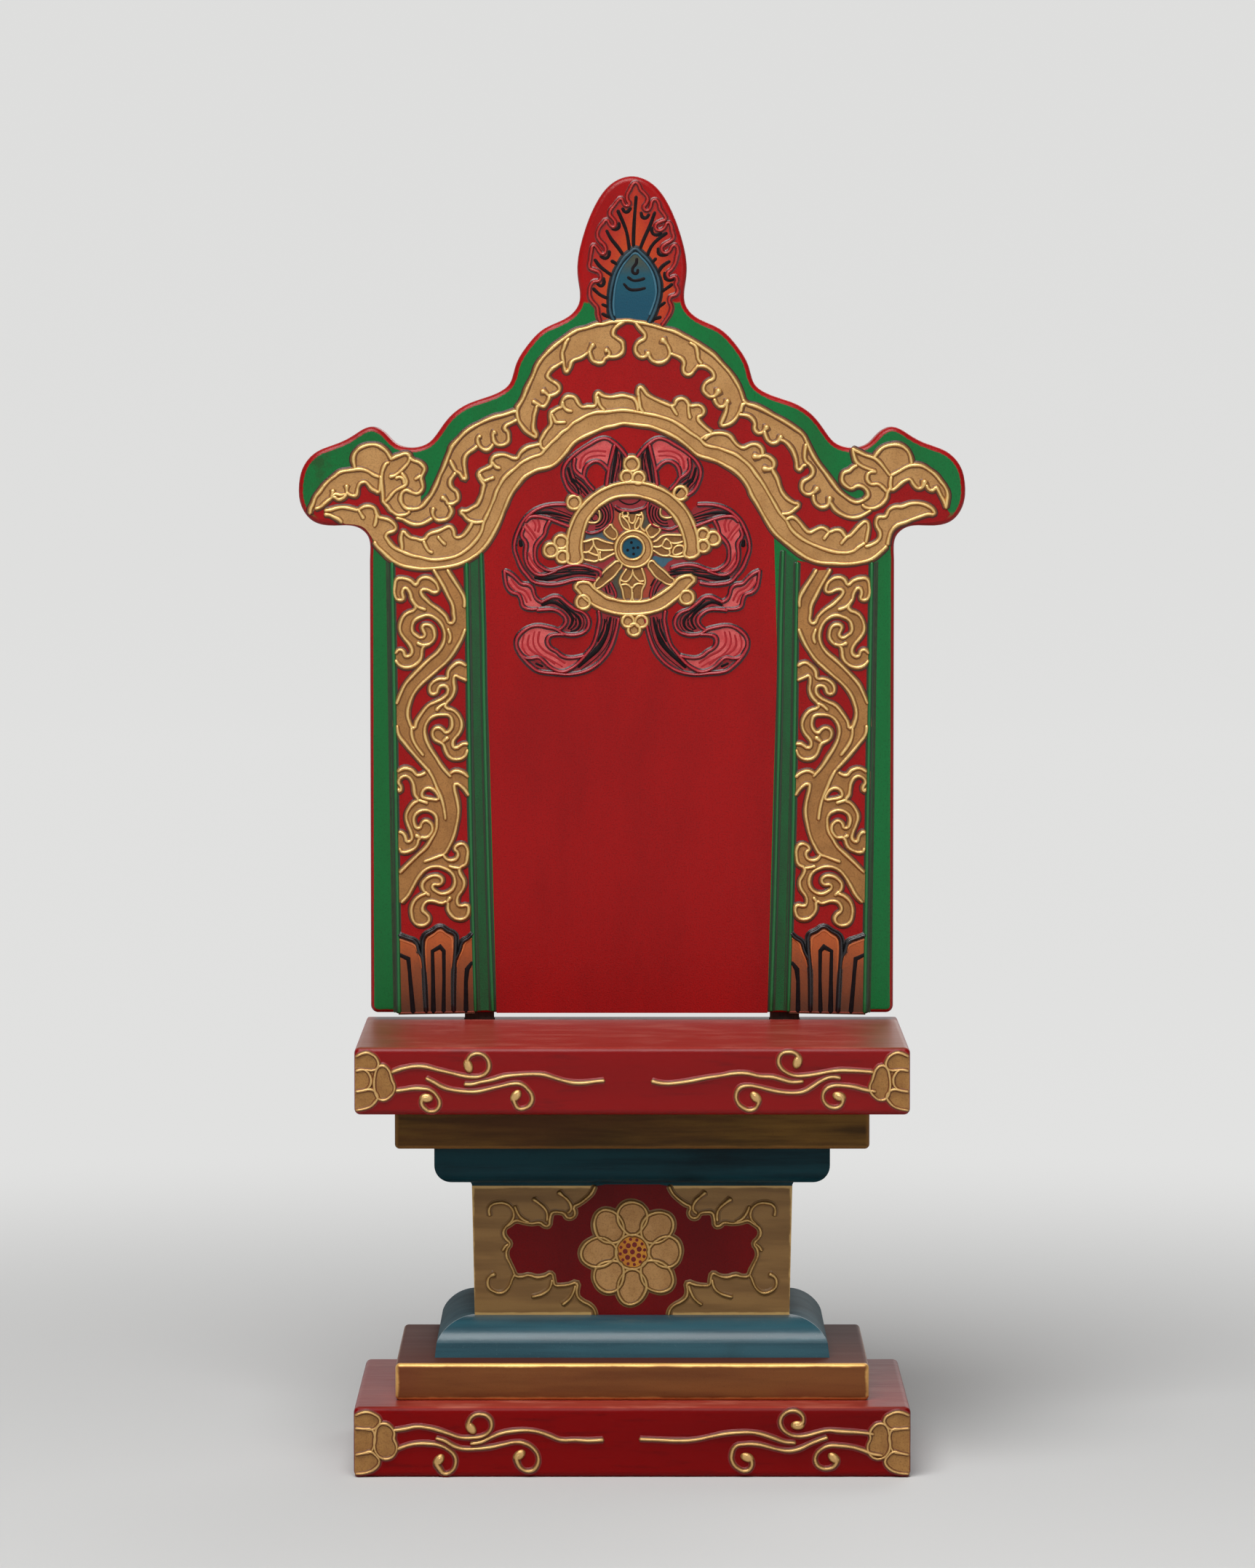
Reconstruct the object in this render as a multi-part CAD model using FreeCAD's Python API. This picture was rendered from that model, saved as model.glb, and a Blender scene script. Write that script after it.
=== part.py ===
# Painted wooden shrine throne: a stepped pedestal with a waist and a seat slab,
# and an arched back board that lifts out of the seat on two loose tenons.
# Raised paste ornament lies on the fronts of the seat, base, waist and board.
# Millimetres, X to the right, Y away from the viewer, Z up.
# The origin is the bottom centre of the base slab.
import FreeCAD, Part
import math
import os
from FreeCAD import Vector

# Pedestal boards, from the floor up
base_width = 185.0
base_depth = 105.0
base_height = 23.5
seat_width = 184.0
seat_depth = 105.0
seat_height = 22.5
lower_step_height = 12.5
lower_moulding_height = 12.7
waist_height = 43.8
upper_moulding_height = 15.5
upper_step_height = 13.0
slab_edge_radius = 2.0
step_inset = 13.4
step_edge_radius = 1.6
moulding_inset = 26.2
moulding_round_radius = 6.5
moulding_cove_radius = 2.0
waist_inset = 38.5
waist_foot_taper = 0.9
tier_rear_inset = 2.4

# Dowels that pin the boards together
dowel_radius = 4.0
dowel_spacing = 60.0
dowel_bite = 12.0
dowel_clearance = 0.1

# Back board and its tenons
board_thickness = 13.0
board_height = 287.3
head_half_width = 114.3
pillar_half_width = 90.0
board_gap = 2.2
board_edge_radius = 1.8
board_corner_radius = 2.5
tenon_width = 10.0
tenon_thickness = 7.0
tenon_spacing = 105.4
tenon_slot_depth = 25.0
mortise_depth = 18.0
mortise_clearance = 0.3
tenon_chamfer = 1.0
bare_strip_depth = 0.5
bare_strip_margin = 0.6

# Raised paste ornament
paste_height = 1.0
tendril_width = 1.7
arch_band_width = 4.6
leaf_width = 7.4
vine_width = 5.2
stem_width = 5.4
curl_width = 2.4
ribbon_width = 3.4
flame_width = 1.8

# Wheel on the upper part of the board
wheel_height_above_foot = 160.0
rim_outer_radius = 22.8
rim_inner_radius = 18.0
rim_gap_top = 4.6
rim_gap_width = 6.4
hub_outer_radius = 6.5
hub_inner_radius = 3.9
spoke_width = 5.0
slim_spoke_width = 2.4
spoke_clearance = 0.1
stud_radius = 2.3
lobe_radius = 2.4
outer_lobe_share = 1.5
wheel_tip_count = 4

# Flower on the waist
flower_radius = 17.2
flower_centre_radius = 5.8
petal_count = 8

# Cuts run past the faces they open by this much
overrun = 5.0

# Heights of the seams between the boards
base_top = base_height
lower_step_top = base_top + lower_step_height
waist_foot = lower_step_top + lower_moulding_height
waist_top = waist_foot + waist_height
upper_step_foot = waist_top + upper_moulding_height
seat_foot = upper_step_foot + upper_step_height
seat_top = seat_foot + seat_height
board_foot = seat_top + board_gap

# Faces that carry ornament, as Y of the front face
base_front = -base_depth / 2
seat_front = -seat_depth / 2
waist_front = waist_inset - base_depth / 2
tier_rear = base_depth / 2 - tier_rear_inset
board_rear = seat_depth / 2
board_front = board_rear - board_thickness
board_middle = board_rear - board_thickness / 2

# Right half of the board's head, from the pillar top to the foot of the finial,
# as shares of head_half_width and board_height
head_outline_shares = [
    (0.794, 0.572),
    (0.824, 0.582),
    (0.890, 0.584),
    (0.960, 0.590),
    (0.995, 0.610),
    (1.000, 0.632),
    (0.987, 0.654),
    (0.947, 0.672),
    (0.885, 0.682),
    (0.839, 0.691),
    (0.781, 0.702),
    (0.741, 0.695),
    (0.708, 0.682),
    (0.659, 0.677),
    (0.607, 0.684),
    (0.578, 0.698),
    (0.542, 0.716),
    (0.489, 0.730),
    (0.400, 0.743),
    (0.368, 0.753),
    (0.350, 0.774),
    (0.314, 0.799),
    (0.263, 0.819),
    (0.188, 0.834),
    (0.160, 0.848),
]
pillar_top_share = 0.543
finial_outline_shares = [
    (0.163, 0.881),
    (0.149, 0.926),
    (0.109, 0.967),
    (0.055, 0.993),
]

# Centre lines of the ornament on the right half of the board, in the same shares
arch_band_shares = [
    (0.750, 0.590),
    (0.738, 0.563),
    (0.690, 0.546),
    (0.610, 0.540),
    (0.530, 0.547),
    (0.463, 0.564),
    (0.420, 0.588),
    (0.388, 0.614),
    (0.337, 0.639),
    (0.255, 0.657),
    (0.180, 0.688),
    (0.104, 0.706),
]
arch_crown_share = 0.713
crown_leaf_shares = [
    (0.042, 0.803),
    (0.110, 0.804),
    (0.174, 0.790),
    (0.232, 0.768),
    (0.266, 0.745),
    (0.288, 0.722),
    (0.300, 0.700),
]
shoulder_vine_shares = [
    (0.930, 0.610),
    (0.895, 0.629),
    (0.840, 0.638),
    (0.786, 0.634),
    (0.735, 0.617),
    (0.685, 0.600),
    (0.613, 0.595),
    (0.552, 0.608),
    (0.520, 0.633),
    (0.498, 0.659),
    (0.455, 0.681),
    (0.399, 0.697),
    (0.365, 0.702),
]
# Ornament on the right pillar, as shares of pillar_half_width and board_height.
# Each curl starts on the stem or on the curl before it.
pillar_stem_shares = [
    (0.730, 0.515),
    (0.690, 0.496),
    (0.660, 0.472),
    (0.669, 0.450),
    (0.735, 0.423),
    (0.832, 0.397),
    (0.879, 0.366),
    (0.869, 0.336),
    (0.803, 0.301),
    (0.730, 0.271),
    (0.702, 0.241),
    (0.728, 0.206),
    (0.809, 0.175),
    (0.876, 0.150),
]
pillar_curl_shares = [
    [(0.669, 0.450), (0.696, 0.468), (0.740, 0.478), (0.800, 0.480),
     (0.857, 0.466), (0.864, 0.448), (0.828, 0.436)],
    [(0.800, 0.480), (0.828, 0.495), (0.864, 0.510)],
    [(0.869, 0.336), (0.832, 0.352), (0.765, 0.362), (0.701, 0.361), (0.660, 0.345), (0.679, 0.322)],
    [(0.765, 0.362), (0.718, 0.382), (0.701, 0.399), (0.657, 0.410)],
    [(0.702, 0.241), (0.752, 0.249), (0.814, 0.250), (0.853, 0.236), (0.838, 0.216)],
    [(0.809, 0.175), (0.743, 0.180), (0.683, 0.171), (0.663, 0.152), (0.692, 0.134), (0.752, 0.137)],
    [(0.743, 0.180), (0.679, 0.185), (0.645, 0.200)],
]
petal_outline_shares = [
    (0.894, 0.010),
    (0.894, 0.091),
    (0.832, 0.082),
    (0.803, 0.066),
    (0.798, 0.083),
    (0.777, 0.093),
    (0.735, 0.103),
    (0.688, 0.093),
    (0.671, 0.083),
    (0.665, 0.066),
    (0.638, 0.083),
    (0.610, 0.091),
    (0.610, 0.010),
]

# Ribbons tied through the wheel, as shares of rim_outer_radius from its centre
ribbon_line_shares = [
    [(0.17, 0.95), (0.26, 1.36), (0.42, 1.58), (0.66, 1.56), (0.88, 1.38), (0.93, 1.15), (0.78, 0.92)],
    [(0.85, 0.66), (1.24, 0.62), (1.52, 0.42), (1.65, 0.07), (1.54, -0.30), (1.24, -0.46), (0.75, -0.42)],
    [(1.90, -0.42), (1.60, -0.74), (1.15, -0.80), (0.84, -1.03), (0.92, -1.19), (1.32, -1.17),
     (1.64, -1.38), (1.57, -1.68), (1.10, -1.80), (0.62, -1.60), (0.36, -1.12)],
]

# Flame and jewel on the finial, as shares of its half width and height
finial_half_width_share = 0.163
finial_foot_share = 0.848
flame_line_shares = [
    (0.80, -0.10),
    (0.84, 0.08),
    (0.80, 0.28),
    (0.68, 0.50),
    (0.48, 0.68),
    (0.24, 0.81),
]
flame_tip_share = 0.88
jewel_outline_shares = [
    (0.40, -0.10),
    (0.46, 0.06),
    (0.38, 0.22),
    (0.18, 0.36),
]
jewel_tip_share = 0.43

# Ornament on the slab fronts, as shares of the slab's half width and height
flower_outline_shares = [
    (0.975, 0.880),
    (0.945, 0.880),
    (0.917, 0.760),
    (0.886, 0.680),
    (0.860, 0.520),
    (0.868, 0.350),
    (0.896, 0.260),
    (0.925, 0.130),
    (0.975, 0.120),
]
tendril_line_shares = [
    [(0.849, 0.660), (0.804, 0.700), (0.739, 0.700), (0.674, 0.650), (0.608, 0.590),
     (0.556, 0.590), (0.522, 0.670), (0.518, 0.780), (0.540, 0.860), (0.572, 0.840)],
    [(0.846, 0.370), (0.765, 0.410), (0.718, 0.350), (0.700, 0.220), (0.722, 0.150)],
    [(0.739, 0.550), (0.660, 0.400), (0.569, 0.360), (0.477, 0.440), (0.412, 0.450),
     (0.375, 0.340), (0.372, 0.210), (0.400, 0.160)],
    [(0.600, 0.420), (0.503, 0.510), (0.373, 0.600), (0.255, 0.520), (0.189, 0.480), (0.103, 0.510)],
]

# Broad round of the lower moulding above its fascia, as shares of the inset from the
# fascia to the waist and of the moulding's height
broad_round_shares = [
    (0.05, 0.38),
    (0.12, 0.53),
    (0.24, 0.68),
    (0.41, 0.82),
    (0.60, 0.92),
    (0.80, 0.98),
    (1.00, 1.00),
]

# Scalloped inner edge of a gilt panel on the waist, top to foot,
# as shares of the waist's half width and height
waist_scallop_shares = [
    (0.250, 0.940),
    (0.357, 0.843),
    (0.390, 0.770),
    (0.516, 0.770),
    (0.540, 0.700),
    (0.733, 0.715),
    (0.795, 0.650),
    (0.803, 0.600),
    (0.775, 0.542),
    (0.799, 0.474),
    (0.751, 0.337),
    (0.505, 0.305),
    (0.490, 0.240),
    (0.352, 0.235),
    (0.335, 0.163),
    (0.250, 0.070),
]
panel_side_share = 0.965
panel_top_share = 0.960
panel_foot_share = 0.050

# Stations on a band's edge for each point of its centre line
stations_per_point = 3


def box_between(low, high):
    """A box from one corner to the opposite one."""
    return Part.makeBox(high.x - low.x, high.y - low.y, high.z - low.z, low)


def centred_box(width, depth, foot, height):
    """A box centred on the Z axis."""
    return Part.makeBox(width, depth, height, Vector(-width / 2, -depth / 2, foot))


def rounded_board(width, depth, foot, height, radius):
    """A centred board with all its edges rounded."""
    board = centred_box(width, depth, foot, height)
    return board.makeFillet(radius, board.Edges)


def save(node, shape):
    """One file for one sub-part."""
    shape.exportStep("parts/" + node + ".step")
    print(node, len(shape.Solids), "solids", round(shape.Volume), "mm3")


def joined(shapes):
    """Overlapping lumps as one clean shape."""
    if len(shapes) == 1:
        return shapes[0]
    return shapes[0].multiFuse(shapes[1:]).removeSplitter()


def smooth_edge(points):
    """A smooth curve through points."""
    curve = Part.BSplineCurve()
    curve.interpolate(points)
    return curve.toShape()


def mirrored(points):
    """The same points on the other side of the throne."""
    return [Vector(-p.x, p.y, p.z) for p in points]


def raised(wire, height):
    """Paste built forward from an outline on a front face."""
    return Part.Face(wire).extrude(Vector(0, -height, 0))


def closed_outline(points):
    """A straight-sided outline through points."""
    return Part.makePolygon(points + [points[0]])


def band(points, start_width, end_width, height):
    """A raised line along a smooth centre line, tapering from start to end, with round ends."""
    curve = Part.BSplineCurve()
    curve.interpolate(points)
    stations = curve.discretize(stations_per_point * (len(points) - 1) + 1)
    near_side = []
    far_side = []
    along = []
    for index, place in enumerate(stations):
        share = index / (len(stations) - 1)
        half_width = (start_width + (end_width - start_width) * share) / 2
        direction = curve.tangent(curve.parameter(place))[0].normalize()
        sideways = Vector(-direction.z, 0, direction.x)
        along.append(direction)
        near_side.append(place + sideways * half_width)
        far_side.append(place - sideways * half_width)
    start_tip = stations[0] - along[0] * (start_width / 2)
    end_tip = stations[-1] + along[-1] * (end_width / 2)
    edges = [
        smooth_edge(near_side),
        Part.Arc(near_side[-1], end_tip, far_side[-1]).toShape(),
        smooth_edge(far_side[::-1]),
        Part.Arc(far_side[0], start_tip, near_side[0]).toShape(),
    ]
    return raised(Part.Wire(edges), height)


def board_points(shares, side=1, half_width=head_half_width):
    """Points on the board's front face from shares of a half width and of its height."""
    return [
        Vector(side * x * half_width, board_front, board_foot + z * board_height)
        for x, z in shares
    ]


def slab_points(shares, side, width, front, foot, height):
    """Points on a slab's front face from shares of its half width and height."""
    return [Vector(side * x * width / 2, front, foot + z * height) for x, z in shares]


def dowels(foot, top, radius):
    """A pair of round pins between two heights, or the holes for them."""
    pins = []
    middle = (waist_front + tier_rear) / 2
    for side in (-1, 1):
        place = Vector(side * dowel_spacing / 2, middle, foot)
        pins.append(Part.makeCylinder(radius, top - foot, place))
    return Part.makeCompound(pins)


def lower_dowel_holes():
    """Holes from the base slab up into the waist."""
    return dowels(
        base_top - dowel_bite - dowel_clearance,
        waist_foot + dowel_bite + dowel_clearance,
        dowel_radius + dowel_clearance,
    )


def upper_dowel_holes():
    """Holes from the waist up into the seat slab."""
    return dowels(
        waist_top - dowel_bite - dowel_clearance,
        seat_foot + dowel_bite + dowel_clearance,
        dowel_radius + dowel_clearance,
    )


def broad_section(half_width, seam, direction, height):
    """Half of the lower moulding's section: a fascia at the seam and a broad round."""
    inset = waist_inset - moulding_inset
    curve = [
        (half_width - inset * x, seam + direction * height * z) for x, z in broad_round_shares
    ]
    return [
        ("line", (half_width, seam), curve[0]),
        ("curve", *curve),
    ]


def coved_section(half_width, seam, direction, height):
    """Half of the upper moulding's section: a fascia at the seam, a round, a flat and a cove.

    The fascia starts at the seam and the section runs from it in the given direction.
    """
    waist_half = half_width - (waist_inset - moulding_inset)
    fascia = height - moulding_round_radius - moulding_cove_radius
    round_foot = seam + direction * (fascia + moulding_round_radius)
    cove_foot = round_foot + direction * moulding_cove_radius
    middle_share = math.sqrt(0.5)
    round_inner = half_width - moulding_round_radius
    round_middle = (
        round_inner + moulding_round_radius * middle_share,
        seam + direction * (fascia + moulding_round_radius * middle_share),
    )
    cove_outer = waist_half + moulding_cove_radius
    cove_middle = (
        cove_outer - moulding_cove_radius * middle_share,
        cove_foot - direction * moulding_cove_radius * middle_share,
    )
    return [
        ("line", (half_width, seam), (half_width, seam + direction * fascia)),
        ("arc", (half_width, seam + direction * fascia), round_middle, (round_inner, round_foot)),
        ("line", (round_inner, round_foot), (cove_outer, round_foot)),
        ("arc", (cove_outer, round_foot), cove_middle, (waist_half, cove_foot)),
    ]


def section_face(section, place):
    """A closed face from half a section and its mirror image, placed by a function of x and z."""
    edges = []
    for side in (1, -1):
        for kind, *points in section:
            corners = [place(side * x, z) for x, z in points]
            if kind == "arc":
                edges.append(Part.Arc(*corners).toShape())
            elif kind == "curve":
                edges.append(smooth_edge(corners))
            else:
                edges.append(Part.makeLine(*corners))
    seam_x, seam_z = section[0][1]
    end_x, end_z = section[-1][-1]
    edges.append(Part.makeLine(place(-seam_x, seam_z), place(seam_x, seam_z)))
    edges.append(Part.makeLine(place(-end_x, end_z), place(end_x, end_z)))
    return Part.Face(Part.Wire(Part.__sortEdges__(edges)))


def moulding(section, seam, direction, height):
    """A mitred moulding: its front section run sideways meets its side section run back.

    The middle of the side section lies in the flat rear, so only its front half is left.
    """
    half_width = base_width / 2 - moulding_inset
    front = moulding_inset - base_depth / 2
    depth = tier_rear - front
    across = section_face(
        section(half_width, seam, direction, height),
        lambda x, z: Vector(x, front, z),
    ).extrude(Vector(0, depth, 0))
    along = section_face(
        section(depth, seam, direction, height),
        lambda y, z: Vector(-half_width, tier_rear + y, z),
    ).extrude(Vector(2 * half_width, 0, 0))
    return across.common(along)


def base_slab():
    """The thick slab that stands on the floor."""
    slab = rounded_board(base_width, base_depth, 0, base_height, slab_edge_radius)
    return slab.cut(lower_dowel_holes())


def step(foot, height):
    """A thinner board between a slab and a moulding, almost flush with the slabs at the rear."""
    half_width = base_width / 2 - step_inset
    board = box_between(
        Vector(-half_width, step_inset - base_depth / 2, foot),
        Vector(half_width, tier_rear, foot + height),
    )
    return board.makeFillet(step_edge_radius, board.Edges)


def waist_block():
    """The narrow block that lifts the seat, a little narrower at its foot."""
    top_half = base_width / 2 - waist_inset
    foot_half = top_half - waist_foot_taper
    corners = [
        Vector(-foot_half, waist_front, waist_foot),
        Vector(foot_half, waist_front, waist_foot),
        Vector(top_half, waist_front, waist_top),
        Vector(-top_half, waist_front, waist_top),
    ]
    block = Part.Face(closed_outline(corners)).extrude(Vector(0, tier_rear - waist_front, 0))
    return block.cut(lower_dowel_holes()).cut(upper_dowel_holes())


def tenon_box(side, foot, top, clearance):
    """A tenon, or the slot for it, between two heights."""
    half_width = tenon_width / 2 + clearance
    half_thickness = tenon_thickness / 2 + clearance
    middle = side * tenon_spacing / 2
    return box_between(
        Vector(middle - half_width, board_middle - half_thickness, foot),
        Vector(middle + half_width, board_middle + half_thickness, top),
    )


def seat_slab():
    """The seat: mortised for the tenons, with its paint ground ending in front of the board."""
    slab = rounded_board(seat_width, seat_depth, seat_foot, seat_height, slab_edge_radius)
    strip_front = board_front - paste_height - bare_strip_margin
    strip = box_between(
        Vector(-seat_width, strip_front, seat_top - bare_strip_depth),
        Vector(seat_width, board_rear + overrun, seat_top + overrun),
    )
    slab = slab.cut(strip).cut(upper_dowel_holes())
    for side in (-1, 1):
        slab = slab.cut(tenon_box(side, seat_top - mortise_depth, seat_top + overrun, mortise_clearance))
    return slab


def tenon(side):
    """A loose tenon, glued into the board and chamfered where it enters the seat."""
    block = tenon_box(side, seat_top - mortise_depth, board_foot + tenon_slot_depth, 0)
    foot_edges = [edge for edge in block.Edges if edge.BoundBox.ZMax < seat_top]
    return block.makeChamfer(tenon_chamfer, foot_edges)


def corner_arc(centre, radius, side):
    """The rounded foot corner of the board, from its foot up to its side."""
    middle = radius * math.sqrt(0.5)
    return Part.Arc(
        centre + Vector(0, 0, -radius),
        centre + Vector(side * middle, 0, -middle),
        centre + Vector(side * radius, 0, 0),
    ).toShape()


def board_outline():
    """The board's closed outline on its front face, smooth all the way round."""
    pillar_top = (pillar_half_width / head_half_width, pillar_top_share)
    half = board_points([pillar_top] + head_outline_shares + finial_outline_shares)
    tip = Vector(0, board_front, board_foot + board_height)
    head = Part.BSplineCurve()
    head.interpolate(
        Points=half + [tip] + mirrored(half)[::-1],
        InitialTangent=Vector(0, 0, 1),
        FinalTangent=Vector(0, 0, -1),
        Scale=False,
    )
    corner = Vector(
        pillar_half_width - board_corner_radius,
        board_front,
        board_foot + board_corner_radius,
    )
    opposite = Vector(-corner.x, corner.y, corner.z)
    right_corner = corner_arc(corner, board_corner_radius, 1)
    left_corner = corner_arc(opposite, board_corner_radius, -1)
    reach = Vector(board_corner_radius, 0, 0)
    drop = Vector(0, 0, board_corner_radius)
    return Part.Wire([
        Part.makeLine(opposite - drop, corner - drop),
        right_corner,
        Part.makeLine(corner + reach, half[0]),
        head.toShape(),
        Part.makeLine(mirrored(half)[0], opposite - reach),
        left_corner,
    ])


def back_board():
    """The arched board with a flame-shaped finial, rounded all round and slotted for the tenons."""
    board = Part.Face(board_outline()).extrude(Vector(0, board_thickness, 0))
    rim_edges = [
        edge for edge in board.Edges
        if edge.BoundBox.YLength < board_thickness / 2
    ]
    board = board.makeFillet(board_edge_radius, rim_edges)
    for side in (-1, 1):
        board = board.cut(tenon_box(side, board_foot - overrun, board_foot + tenon_slot_depth, 0))
    return board


def arch_band():
    """The plain gilt band that sweeps from ear to ear over the wheel."""
    half = board_points(arch_band_shares)
    crown = Vector(0, board_front, board_foot + arch_crown_share * board_height)
    return band(half + [crown] + mirrored(half)[::-1], arch_band_width, arch_band_width, paste_height)


def crown_leaf(side):
    """The broad gilt leaf below the finial."""
    return band(board_points(crown_leaf_shares, side), leaf_width, leaf_width / 2, paste_height)


def shoulder_vine(side):
    """The gilt leaf that runs from the ear under the shoulder."""
    return band(board_points(shoulder_vine_shares, side), vine_width / 2, vine_width, paste_height)


def pillar_scroll(side):
    """The winding stem with curls on one pillar."""
    stem = board_points(pillar_stem_shares, side, pillar_half_width)
    lines = [band(stem, stem_width, curl_width, paste_height)]
    for shares in pillar_curl_shares:
        curl = board_points(shares, side, pillar_half_width)
        lines.append(band(curl, curl_width, curl_width, paste_height))
    return joined(lines)


def pillar_petals(side):
    """The lotus petals at the foot of one pillar."""
    points = board_points(petal_outline_shares, side, pillar_half_width)
    return raised(closed_outline(points), paste_height)


def wheel_centre():
    """Where the wheel's middle lies on the board's face."""
    return Vector(0, board_front, board_foot + wheel_height_above_foot)


def disc(centre, radius, height):
    """A round lump of paste on a front face."""
    return Part.makeCylinder(radius, height, centre, Vector(0, -1, 0))


def wheel_rim():
    """The wheel's rim, open on both sides where the ribbon crosses it."""
    centre = wheel_centre()
    ring = disc(centre, rim_outer_radius, paste_height)
    ring = ring.cut(disc(centre, rim_inner_radius, paste_height))
    gap = box_between(
        centre + Vector(-rim_outer_radius - overrun, -paste_height - overrun, -rim_gap_top - rim_gap_width),
        centre + Vector(rim_outer_radius + overrun, overrun, -rim_gap_top),
    )
    return ring.cut(gap)


def wheel_hub():
    """The ring round the wheel's middle."""
    centre = wheel_centre()
    return disc(centre, hub_outer_radius, paste_height).cut(disc(centre, hub_inner_radius, paste_height))


def wheel_spokes():
    """Four broad spokes and four slim ones between, clear of the hub and the rim."""
    centre = wheel_centre()
    inner = hub_outer_radius + spoke_clearance
    outer = rim_inner_radius - spoke_clearance
    spokes = []
    for index in range(2 * wheel_tip_count):
        width = slim_spoke_width if index % 2 else spoke_width
        bar = box_between(
            centre + Vector(-width / 2, -paste_height, 0),
            centre + Vector(width / 2, 0, rim_outer_radius),
        )
        bar.rotate(centre, Vector(0, 1, 0), index * 180 / wheel_tip_count)
        spokes.append(bar.common(disc(centre, outer, paste_height)).cut(disc(centre, inner, paste_height)))
    return Part.makeCompound(spokes)


def around_wheel(radius, angle):
    """A point at a radius from the wheel's middle, turned from upright."""
    turn = math.radians(angle)
    return wheel_centre() + Vector(radius * math.sin(turn), 0, radius * math.cos(turn))


def wheel_studs():
    """Four round studs on the outside of the rim, between the tips."""
    distance = rim_outer_radius + stud_radius + spoke_clearance
    turn = 360 / wheel_tip_count
    return Part.makeCompound([
        disc(around_wheel(distance, (index + 0.5) * turn), stud_radius, paste_height)
        for index in range(wheel_tip_count)
    ])


def wheel_tips():
    """A tip of three lobes on the rim above, below and at each side."""
    tips = []
    gap = disc(wheel_centre(), rim_outer_radius + spoke_clearance, paste_height)
    for index in range(wheel_tip_count):
        turn = index * 360 / wheel_tip_count
        lean = math.degrees(lobe_radius / rim_outer_radius)
        near = rim_outer_radius + lobe_radius
        lobes = [
            disc(around_wheel(near, turn - lean), lobe_radius, paste_height),
            disc(around_wheel(near, turn + lean), lobe_radius, paste_height),
            disc(around_wheel(near + outer_lobe_share * lobe_radius, turn), lobe_radius, paste_height),
        ]
        tips.append(joined(lobes).cut(gap))
    return Part.makeCompound(tips)


def ribbon(side, others):
    """The ribbon on one side of the wheel, cut back where the wheel and the arch band lie over it."""
    centre = wheel_centre()
    lines = []
    for shares in ribbon_line_shares:
        points = [
            centre + Vector(side * x * rim_outer_radius, 0, z * rim_outer_radius)
            for x, z in shares
        ]
        lines.append(band(points, ribbon_width, ribbon_width, paste_height))
    shape = joined(lines).cut(disc(centre, rim_outer_radius + spoke_clearance, paste_height))
    for other in others:
        shape = shape.cut(other)
    return shape


def finial_points(shares, side=1):
    """Points on the finial from shares of its half width and height."""
    half_width = finial_half_width_share * head_half_width
    height = board_height * (1 - finial_foot_share)
    foot = board_foot + board_height * finial_foot_share
    return [Vector(side * x * half_width, board_front, foot + z * height) for x, z in shares]


def finial_flame():
    """The raised line of the flame round the finial."""
    half = finial_points(flame_line_shares)
    tip = finial_points([(0, flame_tip_share)])
    return band(half + tip + mirrored(half)[::-1], flame_width, flame_width, paste_height)


def finial_jewel():
    """The pointed jewel in the flame."""
    half = finial_points(jewel_outline_shares)
    tip = finial_points([(0, jewel_tip_share)])
    outline = Part.Wire([
        smooth_edge(half + tip),
        smooth_edge(tip + mirrored(half)[::-1]),
        Part.makeLine(mirrored(half)[0], half[0]),
    ])
    return raised(outline, paste_height)


def corner_flower(side, width, front, foot, height):
    """The gilt flower at one end of a slab's front."""
    points = slab_points(flower_outline_shares, side, width, front, foot, height)
    outline = Part.Wire([smooth_edge(points), Part.makeLine(points[-1], points[0])])
    return raised(outline, paste_height)


def tendrils(side, width, front, foot, height):
    """The gilt tendrils that run from a corner flower towards the middle."""
    lines = []
    for shares in tendril_line_shares:
        points = slab_points(shares, side, width, front, foot, height)
        lines.append(band(points, tendril_width, tendril_width, paste_height))
    return joined(lines)


def waist_panel(side):
    """A gilt panel on one end of the waist's front, scalloped towards the middle."""
    half_width = base_width / 2 - waist_inset - waist_foot_taper
    corners = [
        (panel_side_share, panel_foot_share),
        (panel_side_share, panel_top_share),
        (waist_scallop_shares[0][0], panel_top_share),
    ]
    foot_corner = [(waist_scallop_shares[-1][0], panel_foot_share)]
    points = slab_points(
        corners + waist_scallop_shares + foot_corner,
        side,
        2 * half_width,
        waist_front,
        waist_foot,
        waist_height,
    )
    return raised(closed_outline(points), paste_height)


def waist_flower_petals():
    """The ring of petals in the middle of the waist."""
    centre = Vector(0, waist_front, (waist_foot + waist_top) / 2)
    half_angle = math.pi / petal_count
    spread = flower_radius / (1 + math.sin(half_angle))
    petal_radius = spread * math.sin(half_angle)
    petals = []
    for index in range(petal_count):
        turn = 2 * half_angle * index
        place = centre + Vector(spread * math.sin(turn), 0, spread * math.cos(turn))
        petals.append(disc(place, petal_radius, paste_height))
    petals.append(disc(centre, spread, paste_height))
    return joined(petals).cut(disc(centre, flower_centre_radius + spoke_clearance, paste_height))


def waist_flower_centre():
    """The round seed head of the waist's flower."""
    centre = Vector(0, waist_front, (waist_foot + waist_top) / 2)
    return disc(centre, flower_centre_radius, paste_height)


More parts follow.
